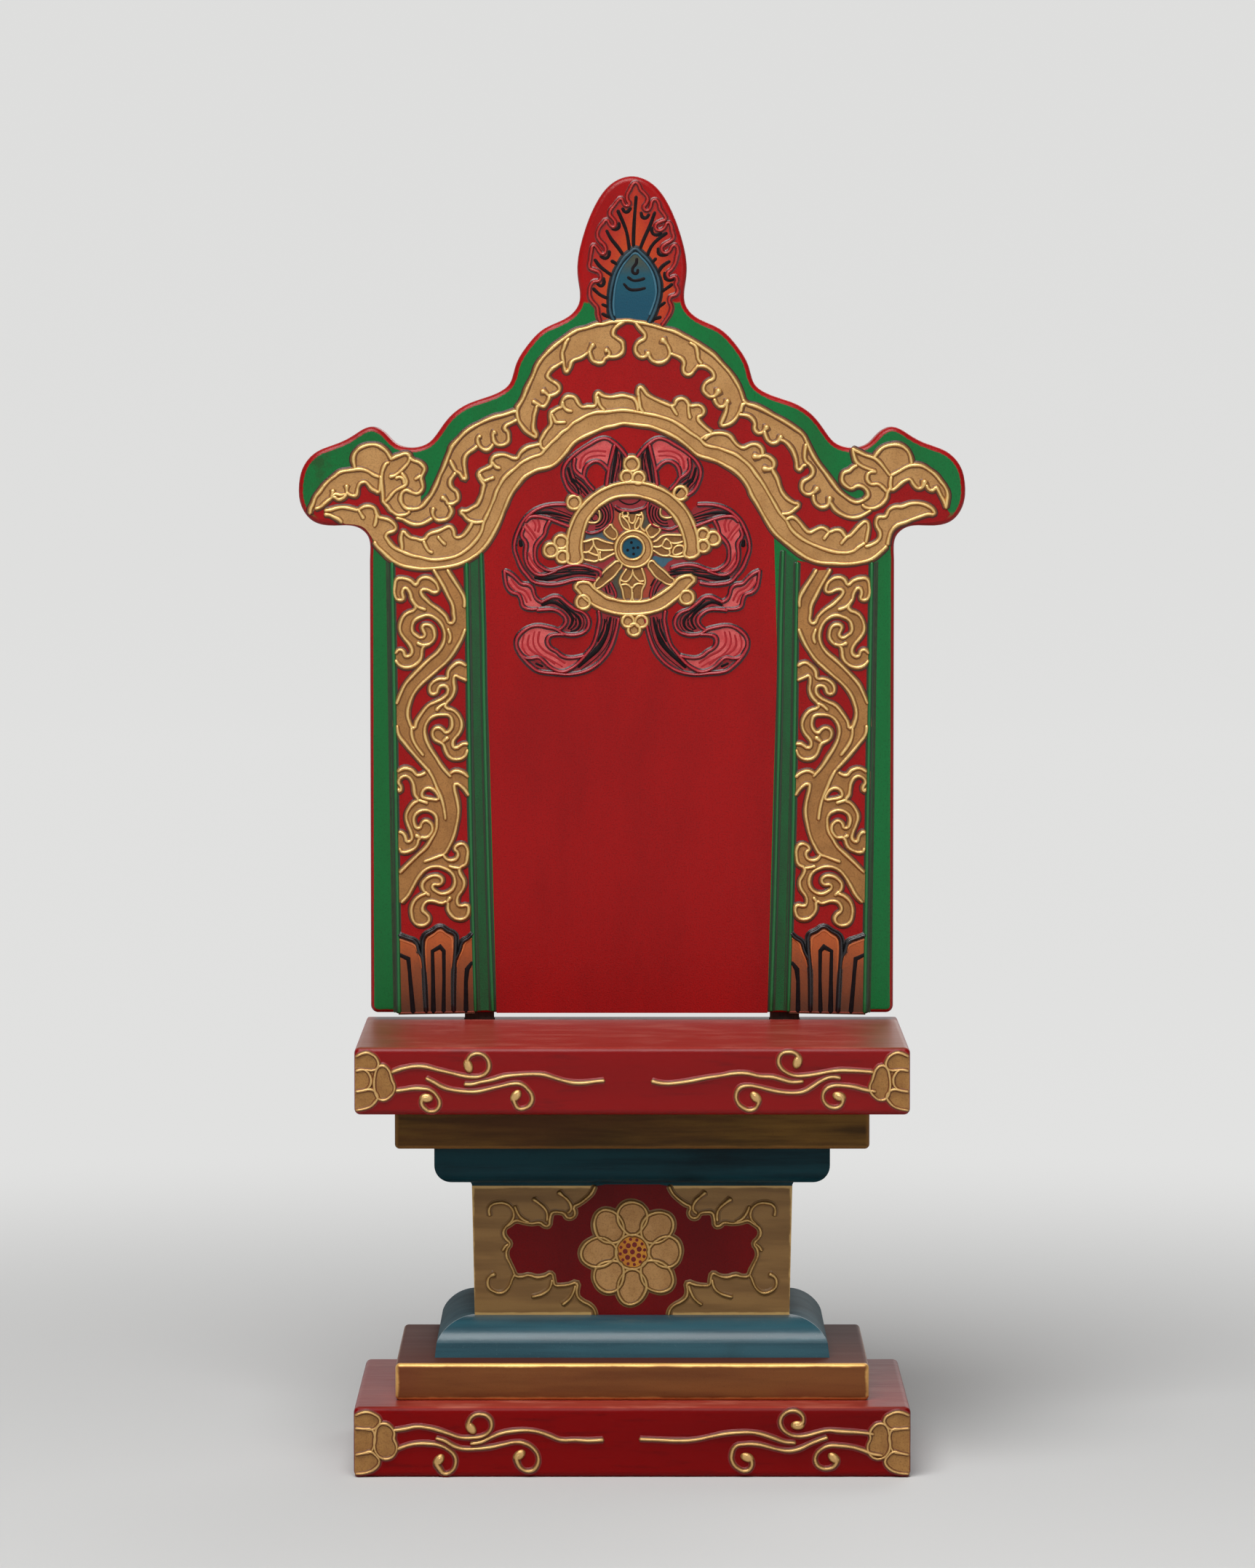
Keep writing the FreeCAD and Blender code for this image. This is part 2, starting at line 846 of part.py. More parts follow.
def make_pedestal():
    """The boards of the pedestal and the pins between them."""
    save("base_slab", base_slab())
    save("lower_step", step(base_top, lower_step_height).cut(lower_dowel_holes()))
    lower = moulding(broad_section, lower_step_top, 1, lower_moulding_height)
    save("lower_moulding", lower.cut(lower_dowel_holes()))
    save("waist_block", waist_block())
    upper = moulding(coved_section, upper_step_foot, -1, upper_moulding_height)
    save("upper_moulding", upper.cut(upper_dowel_holes()))
    save("upper_step", step(upper_step_foot, upper_step_height).cut(upper_dowel_holes()))
    save("seat_slab", seat_slab())
    save("lower_dowels", dowels(base_top - dowel_bite, waist_foot + dowel_bite, dowel_radius))
    save("upper_dowels", dowels(waist_top - dowel_bite, seat_foot + dowel_bite, dowel_radius))


def make_pedestal_ornament():
    """The raised paste on the pedestal's fronts."""
    slabs = {
        "base": (base_width, base_front, 0, base_height),
        "seat": (seat_width, seat_front, seat_foot, seat_height),
    }
    for side, hand in ((-1, "left"), (1, "right")):
        for slab, sizes in slabs.items():
            save(hand + "_" + slab + "_flower", corner_flower(side, *sizes))
            save(hand + "_" + slab + "_tendrils", tendrils(side, *sizes))
        save(hand + "_waist_panel", waist_panel(side))
    save("waist_flower_petals", waist_flower_petals())
    save("waist_flower_centre", waist_flower_centre())


def make_backrest():
    """The board, its tenons and the raised paste on its front."""
    save("back_board", back_board())
    arch = arch_band()
    save("arch_band", arch)
    rim = wheel_rim()
    studs = wheel_studs()
    tips = wheel_tips()
    for side, hand in ((-1, "left"), (1, "right")):
        save(hand + "_tenon", tenon(side))
        save(hand + "_crown_leaf", crown_leaf(side))
        save(hand + "_shoulder_vine", shoulder_vine(side))
        save(hand + "_pillar_scroll", pillar_scroll(side))
        save(hand + "_pillar_petals", pillar_petals(side))
        save(hand + "_ribbon", ribbon(side, (studs, tips, arch)))
    save("wheel_rim", rim)
    save("wheel_hub", wheel_hub())
    save("hub_boss", disc(wheel_centre(), hub_inner_radius, paste_height))
    save("wheel_spokes", wheel_spokes())
    save("wheel_studs", studs)
    save("wheel_tips", tips)
    save("finial_flame", finial_flame())
    save("finial_jewel", finial_jewel())


os.makedirs("parts", exist_ok=True)
make_pedestal()
make_pedestal_ornament()
make_backrest()
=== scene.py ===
import math
import bpy
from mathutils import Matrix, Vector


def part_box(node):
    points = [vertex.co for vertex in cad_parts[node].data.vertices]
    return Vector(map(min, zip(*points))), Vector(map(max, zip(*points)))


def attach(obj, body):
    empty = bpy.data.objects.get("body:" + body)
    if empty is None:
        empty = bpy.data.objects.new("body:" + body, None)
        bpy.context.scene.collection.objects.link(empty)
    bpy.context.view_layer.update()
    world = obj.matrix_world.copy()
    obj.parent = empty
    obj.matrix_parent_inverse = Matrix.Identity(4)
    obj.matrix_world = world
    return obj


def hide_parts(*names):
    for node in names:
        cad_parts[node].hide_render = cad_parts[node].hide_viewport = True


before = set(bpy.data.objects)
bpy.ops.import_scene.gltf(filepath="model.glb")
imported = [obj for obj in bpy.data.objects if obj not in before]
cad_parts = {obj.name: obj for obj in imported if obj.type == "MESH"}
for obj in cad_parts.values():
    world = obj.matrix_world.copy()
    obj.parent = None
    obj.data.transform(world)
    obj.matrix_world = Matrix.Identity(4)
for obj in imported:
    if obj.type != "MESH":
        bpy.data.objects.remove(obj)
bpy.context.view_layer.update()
perMetre = 1000.0  # millimetres


# small helpers

def clearPicks():
    if bpy.context.object and bpy.context.object.mode != "OBJECT":
        bpy.ops.object.mode_set(mode="OBJECT")
    bpy.ops.object.select_all(action="DESELECT")


def pickOnly(thing):
    clearPicks()
    thing.select_set(True)
    bpy.context.view_layer.objects.active = thing


def srgb(red, green, blue):  # a colour as a paint chart gives it, 0 to 255
    linear = []
    for part in (red, green, blue):
        part = part / 255
        if part <= 0.04045:
            linear.append(part / 12.92)
        else:
            linear.append(((part + 0.055) / 1.055) ** 2.4)
    return (linear[0], linear[1], linear[2], 1.0)


class Wire:  # one output of a paint's node, with plain arithmetic
    def __init__(self, paint, socket):
        self.paint = paint
        self.socket = socket

    def work(self, operation, first, second):
        return self.paint.add("ShaderNodeMath", {"operation": operation}, {0: first, 1: second})

    def __add__(self, other):
        return self.work("ADD", self, other)

    def __radd__(self, other):
        return self.work("ADD", other, self)

    def __sub__(self, other):
        return self.work("SUBTRACT", self, other)

    def __rsub__(self, other):
        return self.work("SUBTRACT", other, self)

    def __mul__(self, other):
        return self.work("MULTIPLY", self, other)

    def __rmul__(self, other):
        return self.work("MULTIPLY", other, self)

    def __abs__(self):
        return self.paint.add("ShaderNodeMath", {"operation": "ABSOLUTE"}, {0: self})

    def low(self, other):
        return self.work("MINIMUM", self, other)

    def high(self, other):
        return self.work("MAXIMUM", self, other)


class Paint:  # one finish, built as a node tree
    def __init__(self, name):
        self.material = bpy.data.materials.new(name)
        self.material.use_nodes = True
        self.tree = self.material.node_tree
        self.shader = self.tree.nodes["Principled BSDF"]
        self.place = self.add("ShaderNodeTexCoord", {}, {}, "Object")

    def find(self, sockets, key):
        if isinstance(key, int):
            return sockets[key]
        for socket in sockets:
            if socket.identifier == key:
                return socket
        return sockets[key]

    def add(self, kind, settings, sockets, output=0):
        made = self.tree.nodes.new(kind)
        for setting, value in settings.items():
            setattr(made, setting, value)
        for key, value in sockets.items():
            target = self.find(made.inputs, key)
            if isinstance(value, Wire):
                self.tree.links.new(value.socket, target)
            else:
                target.default_value = value
        return Wire(self, self.find(made.outputs, output))

    def axes(self):
        split = self.add("ShaderNodeSeparateXYZ", {}, {"Vector": self.place}, "X")
        node = split.socket.node
        return split, Wire(self, node.outputs["Y"]), Wire(self, node.outputs["Z"])

    def grain(self, size, detail=3.0, stretch=(1, 1, 1), shift=0.0):  # size in mm
        move = {"Vector": self.place, "Scale": stretch, "Location": (shift, shift, shift)}
        spot = self.add("ShaderNodeMapping", {}, move)
        values = {"Vector": spot, "Scale": perMetre / size, "Detail": detail, "Roughness": 0.6}
        return self.add("ShaderNodeTexNoise", {}, values, "Fac")

    def dust(self, size=0.6):  # the finest grain, in mm
        return self.grain(size, 3.0, (1, 1, 1), 5.0)

    def ramp(self, value, start, end):  # a soft step from 0 to 1
        values = {"Value": value, "From Min": start, "From Max": end}
        return self.add("ShaderNodeMapRange", {"interpolation_type": "SMOOTHSTEP"}, values)

    def blend(self, mask, first, second):
        values = {"Factor_Float": mask, "A_Color": first, "B_Color": second}
        return self.add("ShaderNodeMix", {"data_type": "RGBA"}, values, "Result_Color")

    def over(self, colour, tint, value, start, end, share):  # a tint laid where a value is high
        return self.blend(self.ramp(value, start, end) * share, colour, tint)

    def join(self, name, value):
        target = self.find(self.shader.inputs, name)
        if isinstance(value, Wire):
            self.tree.links.new(value.socket, target)
        else:
            target.default_value = value

    def finish(self, colour, rough, metal=0.0, relief=None, depth=0.1, coat=0.0, specular=0.5):
        self.join("Base Color", colour)
        self.join("Roughness", rough)
        self.join("Metallic", metal)
        self.join("Coat Weight", coat)
        self.join("Coat Roughness", 0.22)
        self.join("Specular IOR Level", specular)
        if relief is not None:
            values = {"Height": relief, "Distance": depth / perMetre, "Strength": 1.0}
            self.join("Normal", self.add("ShaderNodeBump", {}, values, "Normal"))
        return self.material


def wear(thing, material):  # gives a piece its finish
    thing.data.materials.clear()
    thing.data.materials.append(material)


def dress(node, material):  # gives a node of the model its finish
    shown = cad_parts[node]
    for number in range(len(shown.material_slots)):
        shown.material_slots[number].material = material
    if not shown.material_slots:
        shown.data.materials.append(material)


# the faces that carry the raised work, each with its place in the photograph

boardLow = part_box("back_board")[0]
seatLow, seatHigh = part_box("seat_slab")
baseLow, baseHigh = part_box("base_slab")
waistLow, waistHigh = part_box("waist_block")

boardPlace = {"footX": 867.5, "footY": 1391.0, "metresPerPixel": 0.0002502, "lean": 1.05}
seatPlace = {"left": 490.5, "right": 1254.0, "top": 1435.0, "bottom": 1529.0}
basePlace = {"left": 479.5, "right": 1248.0, "top": 1935.5, "bottom": 2031.0}
waistPlace = {"left": 642.5, "right": 1084.5, "top": 1636.0, "bottom": 1808.0}


def onBoard(pixelX, pixelY):  # pixels to metres across and up on the board
    lean = math.radians(boardPlace["lean"])
    across = pixelX - boardPlace["footX"]
    up = boardPlace["footY"] - pixelY
    x = (across * math.cos(lean) - up * math.sin(lean)) * boardPlace["metresPerPixel"]
    z = (across * math.sin(lean) + up * math.cos(lean)) * boardPlace["metresPerPixel"]
    return x, boardLow.z + z


def onBox(place, low, high):  # the same for the front of a box, from its edges in the photograph
    def put(pixelX, pixelY):
        across = (pixelX - place["left"]) / (place["right"] - place["left"])
        down = (pixelY - place["top"]) / (place["bottom"] - place["top"])
        return low.x + (high.x - low.x) * across, high.z - (high.z - low.z) * down
    return {"front": low.y, "put": put, "body": "pedestal"}


board = {"front": boardLow.y, "put": onBoard, "body": "backrest"}
seat = onBox(seatPlace, seatLow, seatHigh)
base = onBox(basePlace, baseLow, baseHigh)
waist = onBox(waistPlace, waistLow, waistHigh)


# piping and flat paint, both drawn as curves and then made mesh

beadShape = [(-2.1, 0.0), (-1.9, 0.115), (-1.5, 0.15), (-1.1, 0.23), (-0.92, 0.42), (-0.7, 0.72),
             (-0.4, 0.93), (0.0, 1.0), (0.4, 0.93), (0.7, 0.72), (0.92, 0.42), (1.1, 0.23),
             (1.5, 0.15), (1.9, 0.115), (2.1, 0.0)]  # a round line with a low dark apron along its foot: painted shade, partly antiquing wash


def newCurve(name):
    clearPicks()
    bpy.ops.curve.primitive_bezier_curve_add(location=(0, 0, 0))
    made = bpy.context.object
    made.name = name
    made.data.splines.clear()
    made.data.dimensions = "2D"
    made.data.fill_mode = "NONE"
    return made


def width(point):  # a point's own share of its line's width, written as a third number
    return point[2] if len(point) > 2 else 1.0


def placed(face, points, side=1):  # pixels to metres on a face: across, up, thickness
    found = []
    for point in points:
        x, z = face["put"](point[0], point[1])
        found.append((x * side, z, width(point)))
    return found


def onto(lines):  # lines on the back board
    return [placed(board, line) for line in lines]


def drawLine(curve, spots, half, closed=False, number=0, straight=False):
    knots = []
    for index, (x, z, thick) in enumerate(spots):
        wobble = 1 + 0.07 * math.sin(index * 1.9 + number * 2.3) + 0.04 * math.sin(index * 0.7)
        knots.append((x, z, thick * wobble))
    if not closed:
        for end, inner in ((0, 1), (-1, -2)):
            dx = knots[end][0] - knots[inner][0]
            dz = knots[end][1] - knots[inner][1]
            length = max(math.hypot(dx, dz), 1e-6)
            thick = knots[end][2]
            tips = []
            for reach, share in ((0.5, 0.8), (0.85, 0.45), (1.0, 0.03)):
                step = half * reach * thick / length
                tips.append((knots[end][0] + dx * step, knots[end][1] + dz * step, thick * share))
            if end == 0:
                knots = list(reversed(tips)) + knots
            else:
                knots = knots + tips
    spline = curve.data.splines.new("BEZIER")
    spline.bezier_points.add(len(knots) - 1)
    spline.resolution_u = 3
    spline.use_cyclic_u = closed
    for knot, (x, z, thick) in zip(spline.bezier_points, knots):
        knot.co = (x, z, 0)
        knot.radius = thick
        knot.handle_left_type = "VECTOR" if straight else "AUTO"
        knot.handle_right_type = "VECTOR" if straight else "AUTO"


def settle(made, face, lift, material):  # a drawn curve laid on its face
    pickOnly(made)
    bpy.ops.object.convert(target="MESH")
    made = bpy.context.object
    made.rotation_euler = (math.pi / 2, 0, 0)
    made.location = (0, face["front"] - lift, 0)
    bpy.ops.object.transform_apply(location=True, rotation=True, scale=True)
    bpy.ops.object.shade_smooth_by_angle(angle=math.radians(50))
    wear(made, material)
    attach(made, face["body"])
    return made


def pipe(name, face, lines, closedLines, half, rise, material, straight=False):
    clearPicks()
    profile = newCurve(name + "Profile")
    profile.data.dimensions = "3D"
    outline = profile.data.splines.new("POLY")
    outline.points.add(len(beadShape) - 1)
    outline.use_cyclic_u = True
    for point, (across, up) in zip(outline.points, beadShape):
        point.co = (across * half, up * rise, 0, 1)
    made = newCurve(name)
    for number, line in enumerate(lines):
        drawLine(made, line, half, False, number, straight)
    for number, line in enumerate(closedLines):
        drawLine(made, line, half, True, number, straight)
    made.data.bevel_mode = "OBJECT"
    made.data.bevel_object = profile
    made.data.use_fill_caps = True
    made = settle(made, face, 0.0, material)
    bpy.data.objects.remove(profile, do_unlink=True)
    return made


def blobs(name, face, spots, rise, material):  # round paste drops on a face
    clearPicks()
    drops = []
    for x, z, across, along, turn in spots:
        bpy.ops.mesh.primitive_uv_sphere_add(segments=20, ring_count=12, radius=1,
                                             location=(x, face["front"], z),
                                             rotation=(0, turn, 0))
        drop = bpy.context.object
        drop.scale = (across, rise, along)
        drops.append(drop)
    for drop in drops:
        drop.select_set(True)
    bpy.context.view_layer.objects.active = drops[0]
    bpy.ops.object.join()
    made = bpy.context.object
    made.name = name
    bpy.ops.object.transform_apply(location=True, rotation=True, scale=True)
    bpy.ops.object.shade_smooth()
    wear(made, material)
    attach(made, face["body"])
    return made


def plate(name, face, outlines, lift, material, slotName, straight=False):
    made = newCurve(name)
    made.data.fill_mode = "BOTH"
    made.data.extrude = 0.00002
    for outline in outlines:
        spline = made.data.splines.new("BEZIER")
        spline.bezier_points.add(len(outline) - 1)
        spline.resolution_u = 1 if straight else 3
        spline.use_cyclic_u = True
        for knot, spot in zip(spline.bezier_points, outline):
            knot.co = (spot[0], spot[1], 0)
            knot.handle_left_type = "VECTOR" if straight else "AUTO"
            knot.handle_right_type = "VECTOR" if straight else "AUTO"
    return settle(made, face, lift, material)


def bothSides(face, lists):
    found = []
    for side in (1, -1):
        for points in lists:
            found.append(placed(face, points, side))
    return found


# finishes

def paintedWood(name, colours, streak, rough, coat, specular, edge):
    paint = Paint(name)
    broad = paint.grain(38, 3, streak)
    fine = paint.grain(2.2, 4, streak, 3.0)
    speck = paint.grain(0.45, 2, (1, 1, 1), 7.0)
    colour = paint.blend(paint.ramp(broad, 0.35, 0.68), colours["base"], colours["worn"])
    colour = paint.over(colour, colours["dark"], fine, 0.52, 0.78, 0.5)
    colour = paint.over(colour, colours["speck"], speck, 0.7, 0.8, 0.35)
    colour = edge(paint, colour)
    relief = fine * 0.6 + speck * 0.25 + broad * 0.3
    return paint.finish(colour, rough + fine * 0.16 - 0.06, 0.0, relief, 0.12, coat, specular)


def boxEdges(paint, low, high, width):  # 1 along the edges of a box that face the front
    x, y, z = paint.axes()
    fromTop = (high.z - z) * perMetre
    fromFoot = (z - low.z) * perMetre
    fromSide = ((high.x - low.x) / 2 - abs(x - (high.x + low.x) / 2)) * perMetre
    near = fromTop.low(fromFoot).low(fromSide)
    ragged = near + paint.grain(5, 3, (0.4, 1, 1), 2.0) * 1.4 - 0.7
    front = 1 - paint.ramp((y - low.y) * perMetre, 0.9, 1.7)
    return (1 - paint.ramp(ragged, width * 0.35, width)) * front


def beadFinish(name, face, rise, colours, metal, rough=0.4, coat=0.0):
    paint = Paint(name)
    height = (face["front"] - paint.axes()[1]) * (1.0 / rise)
    speck = paint.grain(0.5, 3)
    ragged = height + (paint.grain(0.9, 3) - 0.5) * 0.12
    # The lower flank and the apron beside the line are painted dark: painted shade along the raised line,
    # partly antiquing wash. The top of the line is painted lighter in patches: a painted highlight.
    low = paint.ramp(ragged, 0.24, 0.46)
    top = paint.ramp(height + (speck - 0.5) * 0.4, 0.7, 1.0)
    patch = paint.grain(9, 3, (1, 1, 1), 4.0)
    apron = paint.blend(paint.ramp(height, 0.14, 0.18), colours["washAndShade"], colours["foot"])
    colour = paint.blend(low, apron, colours["flank"])
    colour = paint.blend(top * (0.45 + 0.55 * patch), colour, colours["crestHighlight"])
    colour = paint.blend(paint.ramp(patch, 0.55, 0.75) * low * 0.3, colour, colours["foot"])
    relief = speck * 0.6 + paint.grain(2.0, 2) * 0.4
    return paint.finish(colour, rough + patch * 0.15, low * metal, relief, 0.12, coat, 0.4)


def flatPaint(name, colours, size=6.0, metal=0.0, rough=0.42, stretch=(1, 1, 1), coat=0.0,
              specular=0.35):
    paint = Paint(name)
    patch = paint.grain(size, 4, stretch, 1.0)
    fine = paint.dust(0.5)
    colour = paint.blend(paint.ramp(patch, 0.35, 0.68), colours["base"], colours["worn"])
    colour = paint.over(colour, colours["dark"], fine, 0.46, 0.7, 0.45)
    relief = fine * 0.8 + patch * 0.2
    return paint.finish(colour, rough + patch * 0.15, metal, relief, 0.12, coat, specular)


# Each piping table gives a dark apron and foot colour, which is painted shade partly from antiquing wash,
# and a lighter top colour, which is a painted highlight. The seat's, base's and waist's tables are
# written darker step by step downward: painted shade.
gold = {"base": srgb(184, 138, 82), "worn": srgb(170, 124, 70), "dark": srgb(122, 82, 44),
        "washAndShade": srgb(62, 16, 16), "foot": srgb(112, 72, 38), "flank": srgb(190, 142, 80),
        "crestHighlight": srgb(250, 214, 142)}
goldOnSeat = {"washAndShade": srgb(136, 4, 5), "foot": srgb(96, 44, 22), "flank": srgb(168, 122, 70),
              "crestHighlight": srgb(230, 190, 126)}
goldOnBase = {"washAndShade": srgb(120, 4, 5), "foot": srgb(86, 38, 20), "flank": srgb(160, 116, 64),
              "crestHighlight": srgb(226, 184, 120)}
goldOnWaist = {"washAndShade": srgb(122, 88, 44), "foot": srgb(104, 70, 34), "flank": srgb(152, 114, 62),
               "crestHighlight": srgb(214, 176, 112)}
goldFine = {"washAndShade": srgb(112, 72, 38), "foot": srgb(96, 60, 30), "flank": srgb(196, 148, 86),
            "crestHighlight": srgb(250, 216, 146)}
deepRed = {"base": srgb(152, 12, 13), "worn": srgb(140, 9, 11), "dark": srgb(96, 8, 10),
           "speck": srgb(182, 70, 60)}
leafGreen = {"base": srgb(10, 104, 50), "worn": srgb(20, 94, 44), "dark": srgb(18, 54, 30),
             "speck": srgb(80, 130, 86), "washAndShade": srgb(34, 40, 24), "foot": srgb(26, 52, 30),
             "flank": srgb(18, 84, 40), "crestHighlight": srgb(30, 108, 54)}
ribbonRed = {"washAndShade": srgb(36, 10, 16), "foot": srgb(20, 12, 20), "flank": srgb(146, 20, 30),
             "crestHighlight": srgb(172, 46, 54)}
inkLine = {"washAndShade": srgb(30, 10, 8), "foot": srgb(8, 6, 7), "flank": srgb(9, 8, 10),
           "crestHighlight": srgb(26, 24, 30)}
# Written darker than the board's red: painted shade under the seat's overhang.
waistRed = {"base": srgb(112, 4, 6), "worn": srgb(98, 4, 6), "dark": srgb(62, 4, 6)}
flameRed = {"washAndShade": srgb(118, 14, 14), "foot": srgb(60, 12, 14), "flank": srgb(152, 24, 22),
            "crestHighlight": srgb(168, 40, 34)}

boardRise = 0.00088
goldBoardBead = beadFinish("goldPipingOnBoard", board, boardRise, gold, 0.6, 0.3)
goldSeatBead = beadFinish("goldPipingOnSeat", seat, boardRise, goldOnSeat, 0.6, 0.3)
goldBaseBead = beadFinish("goldPipingOnBase", base, boardRise, goldOnBase, 0.6, 0.3)
goldWaistBead = beadFinish("goldPipingOnWaist", waist, boardRise, goldOnWaist, 0.6, 0.3)
goldFineBead = beadFinish("goldFinePiping", board, 0.0006, goldFine, 0.6, 0.3)
greenBead = beadFinish("greenPiping", board, 0.0006, leafGreen, 0.0, 0.28, 0.2)
ribbonBead = beadFinish("ribbonPiping", board, boardRise, ribbonRed, 0.0, 0.2, 0.4)
inkBead = beadFinish("inkedPiping", board, boardRise, inkLine, 0.0, 0.2, 0.4)
flameBead = beadFinish("flamePiping", board, boardRise, flameRed, 0.0, 0.22, 0.3)
goldFlat = flatPaint("goldGround", gold, 7.0, 0.3, 0.42, (1, 1, 1), 0.0, 0.5)
# The pillar scrolls' gilding is written darker than the rest: painted shade between their dense lines.
deepGold = {"base": srgb(168, 118, 64), "worn": srgb(152, 106, 56), "dark": srgb(106, 68, 34)}
deepGoldFlat = flatPaint("deepGoldGround", deepGold, 7.0, 0.3, 0.4, (1, 1, 1), 0.0, 0.4)
slabGold = {"base": srgb(164, 118, 64), "worn": srgb(146, 102, 54), "dark": srgb(104, 68, 34)}
slabGoldFlat = flatPaint("slabGoldGround", slabGold, 5.0, 0.3, 0.4, (1, 1, 1), 0.0, 0.35)
cellGold = {"base": srgb(140, 96, 50), "worn": srgb(122, 80, 40), "dark": srgb(84, 52, 26)}
cellGoldFlat = flatPaint("cellGoldGround", cellGold, 3.0, 0.3, 0.4, (1, 1, 1), 0.0, 0.35)
redFlat = flatPaint("redGround", deepRed, 26.0, 0.0, 0.3, (1, 1, 0.3), 0.0, 0.2)
inkFlat = flatPaint("inkStroke", {"base": srgb(20, 14, 16), "worn": srgb(28, 20, 22),
                                  "dark": srgb(12, 9, 10)}, 4.0, 0.0, 0.4, (1, 1, 1), 0.0, 0.1)
pinkFlat = flatPaint("pinkRibbonFace", {"base": srgb(200, 86, 84), "worn": srgb(184, 58, 60),
                                        "dark": srgb(150, 50, 52)}, 4.0)
wineFlat = flatPaint("darkRibbonFace", {"base": srgb(146, 24, 32), "worn": srgb(118, 18, 26),
                                        "dark": srgb(70, 24, 28)}, 4.0)
# The base's reds are written darker than the seat's, and the seat's darker than the board's: painted
# shade toward the bottom. The top colour and the pale sheen colour are painted light on the lying tops: a
# painted sheen.
slabReds = {
    "seat": {"base": srgb(136, 4, 5), "worn": srgb(120, 4, 5), "dark": srgb(84, 8, 9),
             "speck": srgb(170, 76, 60), "top": srgb(150, 50, 42), "paleSheen": srgb(176, 96, 84),
             "corner": srgb(104, 62, 34), "coat": 0.04, "specular": 0.22},
    "base": {"base": srgb(120, 4, 5), "worn": srgb(104, 4, 5), "dark": srgb(68, 4, 5),
             "speck": srgb(148, 60, 46), "top": srgb(162, 62, 50), "paleSheen": srgb(200, 120, 100),
             "corner": srgb(90, 2, 2), "coat": 0.0, "specular": 0.09},
}
# The upper step's colours are the lower step's darkened, with a dimmer edge: painted shade under the
# seat's overhang. The lying colour darkens the tops: painted shade. The edge colour is a painted
# highlight along the front edges.
stepBronze = {
    "upper": {"base": srgb(118, 84, 32), "worn": srgb(66, 44, 14), "red": srgb(78, 44, 20),
              "edge": srgb(150, 104, 52), "fine": srgb(52, 30, 14), "metal": 0.1,
              "specular": 0.15, "lying": srgb(64, 34, 18), "bright": 0.5},
    "lower": {"base": srgb(124, 74, 34), "worn": srgb(102, 56, 24), "red": srgb(106, 44, 28),
              "edge": srgb(240, 186, 108), "fine": srgb(70, 38, 18), "metal": 0.25,
              "specular": 0.3, "lying": srgb(74, 28, 18), "bright": 1.0},
}
# The upper moulding's colours are the lower moulding's darkened: painted shade under the seat's overhang.
mouldingTeal = {
    "upper": {"base": srgb(16, 58, 66), "worn": srgb(10, 40, 48), "deep": srgb(6, 20, 24),
              "fine": srgb(40, 58, 62), "coat": 0.0, "specular": 0.12},
    "lower": {"base": srgb(48, 90, 102), "worn": srgb(36, 72, 84), "deep": srgb(32, 58, 66),
              "fine": srgb(104, 132, 138), "coat": 0.45, "specular": 0.25},
}


def boardFinish():
    paint = Paint("backBoardPaint")
    x, y, z = paint.axes()
    brush = paint.grain(3.0, 3, (1, 1, 0.25), 2.0)
    sole = onBoard(445, 700)[1]
    upper = paint.ramp((z - sole) * perMetre, -1.0, 2.0)
    depth = (y - boardLow.y) * perMetre * (0.5 + brush) - 0.1 * (1 - upper)
    under = (1 - upper) * paint.ramp(abs(x) * perMetre, 92, 94)
    face = (1 - paint.ramp(depth, 0.01, 0.07)) * (1 - under)
    neck = onBoard(820, 414)[1]
    below = 1 - paint.ramp((z - neck) * perMetre + (brush - 0.5) * 2, -0.4, 0.4)
    broad = paint.grain(30, 3, (1, 1, 0.2))
    fine = paint.dust()
    green = paint.blend(paint.ramp(broad, 0.35, 0.65), leafGreen["base"], leafGreen["worn"])
    green = paint.over(green, leafGreen["dark"], fine, 0.5, 0.75, 0.45)
    stain = paint.ramp(paint.grain(9, 4, (1, 1, 1), 3.0), 0.45, 0.65) * upper
    stain = stain * (1 - paint.ramp(x * perMetre, -106, -84))
    green = paint.blend(stain * 0.5, green, srgb(44, 48, 26))
    red = paint.blend(paint.ramp(broad, 0.35, 0.65), srgb(154, 10, 11), srgb(138, 7, 9))
    red = paint.over(red, deepRed["dark"], fine, 0.5, 0.75, 0.4)
    colour = paint.blend(face * below, red, green)
    relief = fine * 0.6 + brush * 0.4
    return paint.finish(colour, 0.27 + brush * 0.12, 0.0, relief, 0.1, 0.1, 0.2)


def slabFinish(name, high, reds):
    def edge(paint, colour):
        x, _, z = paint.axes()
        # Top faces are painted lighter, with streaks of a paler colour: a painted sheen. Toward the outer
        # ends of the top the colour turns to the corner colour.
        top = paint.ramp((z - high.z) * perMetre, -0.8, -0.15)
        sheen = paint.ramp(paint.grain(6, 4, (0.25, 0.6, 1), 9.0), 0.45, 0.7)
        lying = paint.blend(sheen * 0.6, reds["top"], reds["paleSheen"])
        colour = paint.blend(top * 0.8, colour, lying)
        side = paint.ramp(abs(x) * perMetre + paint.grain(14, 3) * 16, 74, 96)
        return paint.blend(side * top * 0.7, colour, reds["corner"])
    return paintedWood(name, reds, (0.12, 1, 1), 0.34, reds["coat"], reds["specular"], edge)


